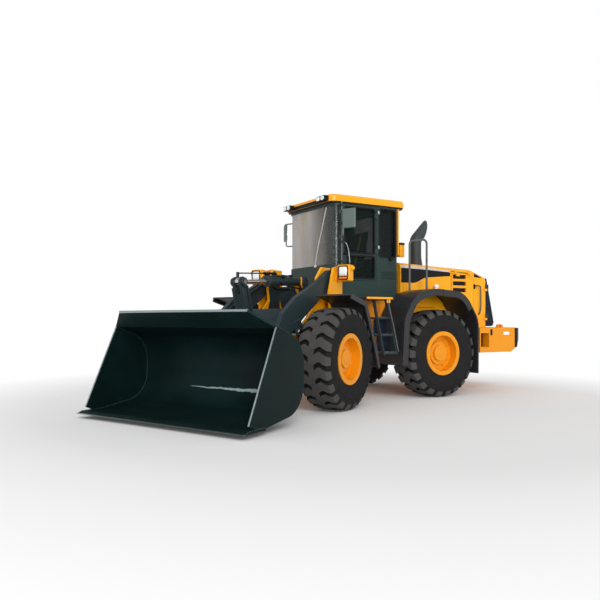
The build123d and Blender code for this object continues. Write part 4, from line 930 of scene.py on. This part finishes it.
def make_crank_trim():
    """The bellcrank's web, ribs and pins, the level indicator, and plates on the boom and the towers."""
    run = (CRANK_TOP - CRANK_PIVOT).normalized()
    side_step = Vector((-run.y, run.x))
    web = Form()
    corners = []
    for reach, width in ((0.06, 0.062), (0.30, 0.068), (0.60, 0.060)):
        corners.append((CRANK_PIVOT + reach * run, width))
    outline = [middle + width * side_step for middle, width in corners]
    outline += [middle - width * side_step for middle, width in reversed(corners)]
    web.prism(outline, "y", -0.043, 0.043)
    for sign in (1, -1):
        for edge in (1, -1):
            rib = [CRANK_PIVOT + reach * run + edge * width * side_step
                   for reach, width in ((0.26, 0.074), (0.70, 0.074), (0.68, 0.052), (0.30, 0.052))]
            web.prism(rib, "y", sign * 0.070, sign * 0.098)
        web.pin(*CRANK_TOP, sign * 0.070, sign * 0.112, 0.066, 0.060, 28)
    web.done("bellcrank_web", SLATE, "bellcrank", bevel=0.003)
    pins = Form()
    for sign in (1, -1):
        pins.pin(*CRANK_TOP, sign * 0.110, sign * 0.122, 0.036, sides=24)
    pins.done("bellcrank_pins", ZINC, "bellcrank", "chrome_rod", bevel=0.002)
    pointer = Form()
    pointer.rod((2.345, -0.125, 1.969), (1.70, -0.125, 2.0045), 0.010)
    pointer.box((2.325, -0.14, 1.862), (2.365, 0.02, 1.88))
    pointer.box((2.325, -0.14, 1.862), (2.365, -0.11, 1.985))
    pointer.done("level_rod", SLATE, "tilt_rod", "chrome_rod", bevel=0.003)
    guide = Form()
    guide.pipe((1.69, -0.125, 2.005), (1.36, -0.125, 2.0232), 0.019, 0.0135)
    for x, z in ((1.42, 2.018), (1.62, 2.008)):
        guide.box((x - 0.012, -0.142, z - 0.16), (x + 0.012, -0.06, z - 0.012))
    guide.done("level_guide", BLACK, "tilt_barrel", bevel=0.002)
    skirt = Form()
    skirt.prism([(1.912, 1.458), (1.934, 1.450), (2.002, 1.262), (1.984, 1.240)], "y", -0.53, 0.53)
    skirt.done("boom_front_plate", SLATE, "boom", bevel=0.004)
    cover = Form()
    plate = [(-0.43, 1.655), (-0.36, 1.40), (0.43, 1.40), (0.43, 1.846), (-0.43, 1.846)]
    cover.prism(plate, "x", 0.776, 0.786)
    for y in (-0.36, -0.27, -0.06, 0.06, 0.27, 0.36):
        cover.rod((0.78, y, 1.80), (0.80, y, 1.80), 0.016, sides=6)
    ear = [(0.716, 1.70), (0.716, 1.932), (0.778, 1.989), (0.904, 1.989), (0.904, 1.857), (0.783, 1.70)]
    lining = [(0.78, 1.38), (0.78, 2.0), (0.94, 2.105), (1.112, 1.935), (1.068, 1.61), (1.15, 1.38)]
    for sign in (1, -1):
        cover.prism(ear, "y", sign * 0.080, sign * 0.087)
        cover.pin(*TILT_BASE, sign * 0.084, sign * 0.098, 0.05, sides=28)
        cover.prism(lining, "y", sign * 0.4275, sign * 0.4365)
    cover.done("tilt_base_plates", SLATE, "front_frame", bevel=0.002)


def on_barrel(reach, off):
    """An (x, z) place along the tilt cylinder's line, a distance off it."""
    run = (CRANK_TOP - TILT_BASE).normalized()
    place = TILT_BASE + reach * run + off * Vector((-run.y, run.x))
    return place.x, place.y


def make_tilt_pipes():
    """Two pipes along the tilt cylinder's barrel, with their fittings and clamps."""
    fittings = Form()
    for side, sign in SIDES:
        y = sign * 0.05
        start, middle, bend = (on_barrel(reach, 0.084) for reach in (0.36, 0.60, 0.86))
        elbow = (bend[0] + 0.03, bend[1])
        line = [(x, y, z) for x, z in (start, middle, bend, elbow, on_barrel(0.90, 0.05))]
        tube(f"tilt_pipe_{side}", line, 0.014, SLATE, "tilt_barrel")
        x, z = start
        fittings.rod((x - 0.05, y, z + 0.003), (x + 0.03, y, z), 0.021, sides=6)
        x, z = on_barrel(0.58, 0.045)
        fittings.box((x - 0.02, y - 0.022, z), (x + 0.02, y + 0.022, z + 0.058))
    fittings.done("tilt_pipe_clamps", BLACK, "tilt_barrel", bevel=0.003)


def hose(name, points, radius):
    """A hydraulic hose from one body to the next, made as one fixed mesh."""
    curve = smooth_line(name, points, 10)
    guide = bpy.data.objects.new(name + "_line", curve)
    path = [v.co.copy() for v in bpy.data.meshes.new_from_object(guide).vertices]
    thicken(curve, radius)
    mesh = bpy.data.meshes.new_from_object(guide)
    bpy.data.objects.remove(guide)
    mesh.materials.clear()
    mesh.materials.append(HOSE)
    mesh.polygons.foreach_set("use_smooth", [True] * len(mesh.polygons))
    thing = bpy.data.objects.new(name, mesh)
    bpy.context.collection.objects.link(thing)
    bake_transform(thing)


def make_hoses():
    for side, sign in SIDES:
        x, z = on_barrel(0.70, -0.02)
        line = [(0.785, sign * 0.20, 1.80), (0.93, sign * 0.20, 1.79), (1.12, sign * 0.20, 1.78),
                (1.30, sign * 0.18, 1.79), (1.44, sign * 0.14, 1.82), (x, sign * 0.080, z)]
        points = [FRONT @ Vector(p) for p in line]
        hose(f"tilt_hose_{side}", points, 0.015)
    ends = Form()
    for sign in (1, -1):
        ends.rod((0.78, sign * 0.20, 1.80), (0.84, sign * 0.20, 1.796), 0.023, 0.021, 6)
    ends.done("tilt_hose_ends", ZINC, "front_frame", "dark_steel", bevel=0.002)


make_crank_trim()
make_tilt_pipes()
make_hoses()


def make_bucket_trim():
    """Worn steel on the bucket's edges, and weld beads on its back."""
    tip, floor = 4.215, 0.058
    edge = Form()
    half = 1.3735
    bevel = [(tip + 0.002, floor + 0.0005), (tip - 0.018, floor + 0.0085), (tip - 0.024, floor + 0.0085),
             (tip - 0.008, floor - 0.001)]
    edge.prism(bevel, "y", -half, half)
    edge.done("cutting_edge_wear", WORN, "bucket")
    notch, front = (3.548, 1.212), (4.089, 0.137)
    lip = (3.732, 1.400)
    strips = Form()
    for sign in (1, -1):
        side = sign * 1.3425
        run = Vector((front[0] - notch[0], front[1] - notch[1])).normalized()
        out = Vector((-run.y, run.x)) * 0.003
        base = [Vector(notch), Vector(front)]
        outline = [base[0] + out, base[1] + out, base[1] - out, base[0] - out]
        strips.prism(outline, "y", side - 0.009, side + 0.009)
    strips.pin(*lip, -1.07, 1.07, 0.018, sides=14)
    strips.done("bucket_worn_edges", WORN, "bucket")
    welds = Form()
    for y in (-0.645, -0.475, 0.475, 0.645):
        welds.rod((2.945, y, 0.46), (2.945, y, 0.82), 0.010, sides=8)
    welds.done("bucket_welds", BUCKET, "bucket")


make_bucket_trim()


# Ladders, deck edge and seat

def make_ladder_trim():
    """Grip studs, risers and braces on the ladders, and the decks' edges."""
    for side, sign in SIDES:
        grip = Form()
        for z, out in ((0.777, 1.22), (1.062, 1.14), (1.337, 1.063)):
            for i in range(6):
                for k in range(4):
                    x = -0.535 + 0.045 * i
                    y = sign * (out - 0.03 - 0.045 * k)
                    grip.rod((x, y, z - 0.002), (x, y, z + 0.006), 0.012, 0.007, 10)
        grip.done(f"tread_grip_{side}", STEEL, "rear_frame", "dark_steel")
        edge = Form()
        low, high = sorted((sign * 1.105, sign * 1.135))
        edge.box((-0.54, low, 1.626), (-0.02, high, 1.660))
        edge.box((-0.50, low, 1.565), (-0.43, high - 0.012, 1.63))
        edge.done(f"deck_edge_{side}", YELLOW, bevel=0.006)
        riser = Form()
        for z_low, z_high, back in ((0.775, 1.034, 1.03), (1.060, 1.309, 0.95)):
            riser.box((-0.572, sign * back, z_low), (-0.30, sign * (back - 0.012), z_high))
        riser.done(f"ladder_riser_{side}", NAVY, bevel=0.002)
        brace = [(-0.45, 1.115, 1.625), (-0.50, 1.118, 1.42), (-0.565, 1.15, 1.10), (-0.60, 1.195, 0.78)]
        tube(f"ladder_brace_{side}", mirrored(brace, sign), 0.011, TUBE)


make_ladder_trim()


def cushion(name, size, place, channels):
    """A crowned pad, x deep, y wide and z thick, its sides pulled in, with sewn channels across its top."""
    form = Form()
    deep, wide, thick = size
    count = 28
    steps = [-1 + 2 * i / count for i in range(count + 1)]
    for up, height in ((1, 0.62), (-1, 0.38)):
        grid = []
        for u in steps:
            line = []
            for v in steps:
                crown = max(0, (1 - u ** 6) * (1 - v ** 6)) ** 0.4 * (1 - 0.12 * u * u - 0.12 * v * v)
                level = up * height * thick * crown
                if up > 0:
                    level -= sum(0.016 * crown * math.exp(-((u - c) / 0.045) ** 2) for c in channels)
                x = deep / 2 * u * (1 - 0.035 * (1 - v * v))
                y = wide / 2 * v * (1 - 0.035 * (1 - u * u))
                line.append(form.mesh.verts.new((x, y, level)))
            grid.append(line)
        for i in range(count):
            for k in range(count):
                form.mesh.faces.new((grid[i][k], grid[i + 1][k], grid[i + 1][k + 1], grid[i][k + 1]))
    bmesh.ops.remove_doubles(form.mesh, verts=form.mesh.verts, dist=0.00001)
    thing = form.done(name, FABRIC, "rear_frame", "seat_fabric", REAR @ place, smooth=70)
    return thing


def make_seat():
    """The seat's bellows base, arm rests, two pads and belt."""
    base = Form()
    rings = []
    for i in range(13):
        grow = 0.0 if i % 2 else 0.018
        flat = rounded((-0.555 - grow, -0.15 - grow), (-0.245 + grow, 0.15 + grow), 0.04)
        rings.append([(x, y, 1.80 + 0.028 * i) for x, y in flat])
    base.skin(rings)
    base.prism(rounded((-0.64, -0.22), (-0.17, 0.22), 0.04), "z", 2.135, 2.20)
    base.box((-0.66, -0.17, 2.15), (-0.63, 0.17, 2.42))
    for sign in (1, -1):
        base.prism(rounded((-0.66, 2.44), (-0.32, 2.49), 0.02), "y", sign * 0.262, sign * 0.318)
        base.prism(rounded((-0.70, 2.42), (-0.64, 2.50), 0.012), "y", sign * 0.22, sign * 0.27)
    base.done("seat_base", BLACK, bevel=0.006)
    flat = Matrix.Translation((-0.40, 0, 2.248))
    pad = cushion("seat_cushion", (0.49, 0.49, 0.13), flat, (-0.35, 0.35))
    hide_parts("seat")
    lean = Matrix.Translation((-0.712, 0, 2.565)) @ Matrix.Rotation(math.radians(80), 4, "Y")
    cushion("seat_back", (0.60, 0.45, 0.12), lean, (-0.55, -0.1, 0.35))
    belt = Form()
    line = [(-0.668, 0.13, 2.76), (-0.605, 0.15, 2.56), (-0.545, 0.18, 2.39), (-0.49, 0.22, 2.335),
            (-0.44, 0.262, 2.24)]
    rings = []
    for x, y, z in line:
        rings.append([(x, y - 0.022, z), (x, y + 0.022, z), (x + 0.004, y + 0.022, z + 0.002),
                      (x + 0.004, y - 0.022, z + 0.002)])
    belt.skin(rings)
    belt.done("seat_belt", WEBBING, smooth=60)


make_seat()


# Stage, light and camera

FLOOR_HALF = 60
MIDDLE = Vector((0, 0, 1))

# The photo's camera, fitted to the wheels, cab and bucket; lengths in the picture are in pixels.
SENSOR = 36
PHOTO_SIZE = 600
FOCAL_LENGTH = 626.59
OPTICAL_CENTRE = (254.83, 320.12)
CAMERA_PLACE = (6.24, 8.993, 1.29)
CAMERA_HEADING = 241.65


def make_stage():
    """A floor that is lit near the machine and white farther off."""
    mesh = bpy.data.meshes.new("floor")
    outline = rectangle((-FLOOR_HALF, -FLOOR_HALF), (FLOOR_HALF, FLOOR_HALF))
    mesh.from_pydata([(x, y, 0) for x, y in outline], [], [(0, 1, 2, 3)])
    floor = bpy.data.objects.new("floor", mesh)
    bpy.context.collection.objects.link(floor)
    nodes = Nodes("floor_white")
    length = nodes.add("ShaderNodeVectorMath", operation="LENGTH")
    nodes.join(nodes.place, length.inputs[0])
    far = nodes.ramp(length.outputs["Value"], 0.0, 1.0, 4.5, 7.5)
    path = nodes.add("ShaderNodeLightPath")
    seen = nodes.math("MAXIMUM", path.outputs["Is Camera Ray"], path.outputs["Is Glossy Ray"])
    seen = nodes.math("MAXIMUM", seen, path.outputs["Is Transmission Ray"])
    glow = nodes.add("ShaderNodeEmission")
    blend = nodes.add("ShaderNodeMixShader")
    nodes.join(nodes.math("MULTIPLY", far, seen), blend.inputs["Fac"])
    nodes.join(nodes.shader.outputs["BSDF"], blend.inputs[1])
    nodes.join(glow.outputs["Emission"], blend.inputs[2])
    nodes.join(blend.outputs["Shader"], nodes.tree.nodes["Material Output"].inputs["Surface"])
    nodes.set(Base_Color=(0.93, 0.93, 0.93, 1), Roughness=0.9, Specular_IOR_Level=0.0)
    mesh.materials.append(nodes.material)


def make_world():
    """A white background that gives the machine a weaker light than it shows."""
    world = bpy.data.worlds.new("studio")
    bpy.context.scene.world = world
    world.use_nodes = True
    tree = world.node_tree
    back = tree.nodes["Background"]
    path = tree.nodes.new("ShaderNodeLightPath")
    seen = tree.nodes.new("ShaderNodeMath")
    seen.operation = "MAXIMUM"
    tree.links.new(path.outputs["Is Camera Ray"], seen.inputs[0])
    tree.links.new(path.outputs["Is Transmission Ray"], seen.inputs[1])
    level = tree.nodes.new("ShaderNodeMapRange")
    level.inputs["To Min"].default_value = 0.57
    level.inputs["To Max"].default_value = 1.0
    tree.links.new(seen.outputs[0], level.inputs["Value"])
    tree.links.new(level.outputs["Result"], back.inputs["Strength"])
    back.inputs["Color"].default_value = (1, 1, 1, 1)


def sun(name, place, energy, spread_deg):
    """A soft sun that shines from a place toward the middle of the machine."""
    data = bpy.data.lights.new(name, "SUN")
    data.energy = energy
    data.angle = math.radians(spread_deg)
    thing = bpy.data.objects.new(name, data)
    thing.location = place
    thing.rotation_mode = "QUATERNION"
    thing.rotation_quaternion = (MIDDLE - Vector(place)).to_track_quat("-Z", "Y")
    bpy.context.collection.objects.link(thing)


def make_camera():
    data = bpy.data.cameras.new("photo_camera")
    data.sensor_width = SENSOR
    data.lens = SENSOR * FOCAL_LENGTH / PHOTO_SIZE
    data.shift_x = (PHOTO_SIZE / 2 - OPTICAL_CENTRE[0]) / PHOTO_SIZE
    data.shift_y = (OPTICAL_CENTRE[1] - PHOTO_SIZE / 2) / PHOTO_SIZE
    data.clip_end = 200
    camera = bpy.data.objects.new("photo_camera", data)
    camera.location = REAR @ Vector(CAMERA_PLACE)
    camera.rotation_euler = (math.radians(90), 0, math.radians(CAMERA_HEADING - 90))
    bpy.context.collection.objects.link(camera)
    bpy.context.scene.camera = camera


make_stage()
make_world()
make_camera()
sun("key", (3.5, 9, 8), 0.9, 25)
sun("low", (4, 10, 2.3), 1.1, 16)
sun("fill", (9, 2, 5), 0.35, 60)
bpy.context.scene.view_settings.view_transform = "Standard"
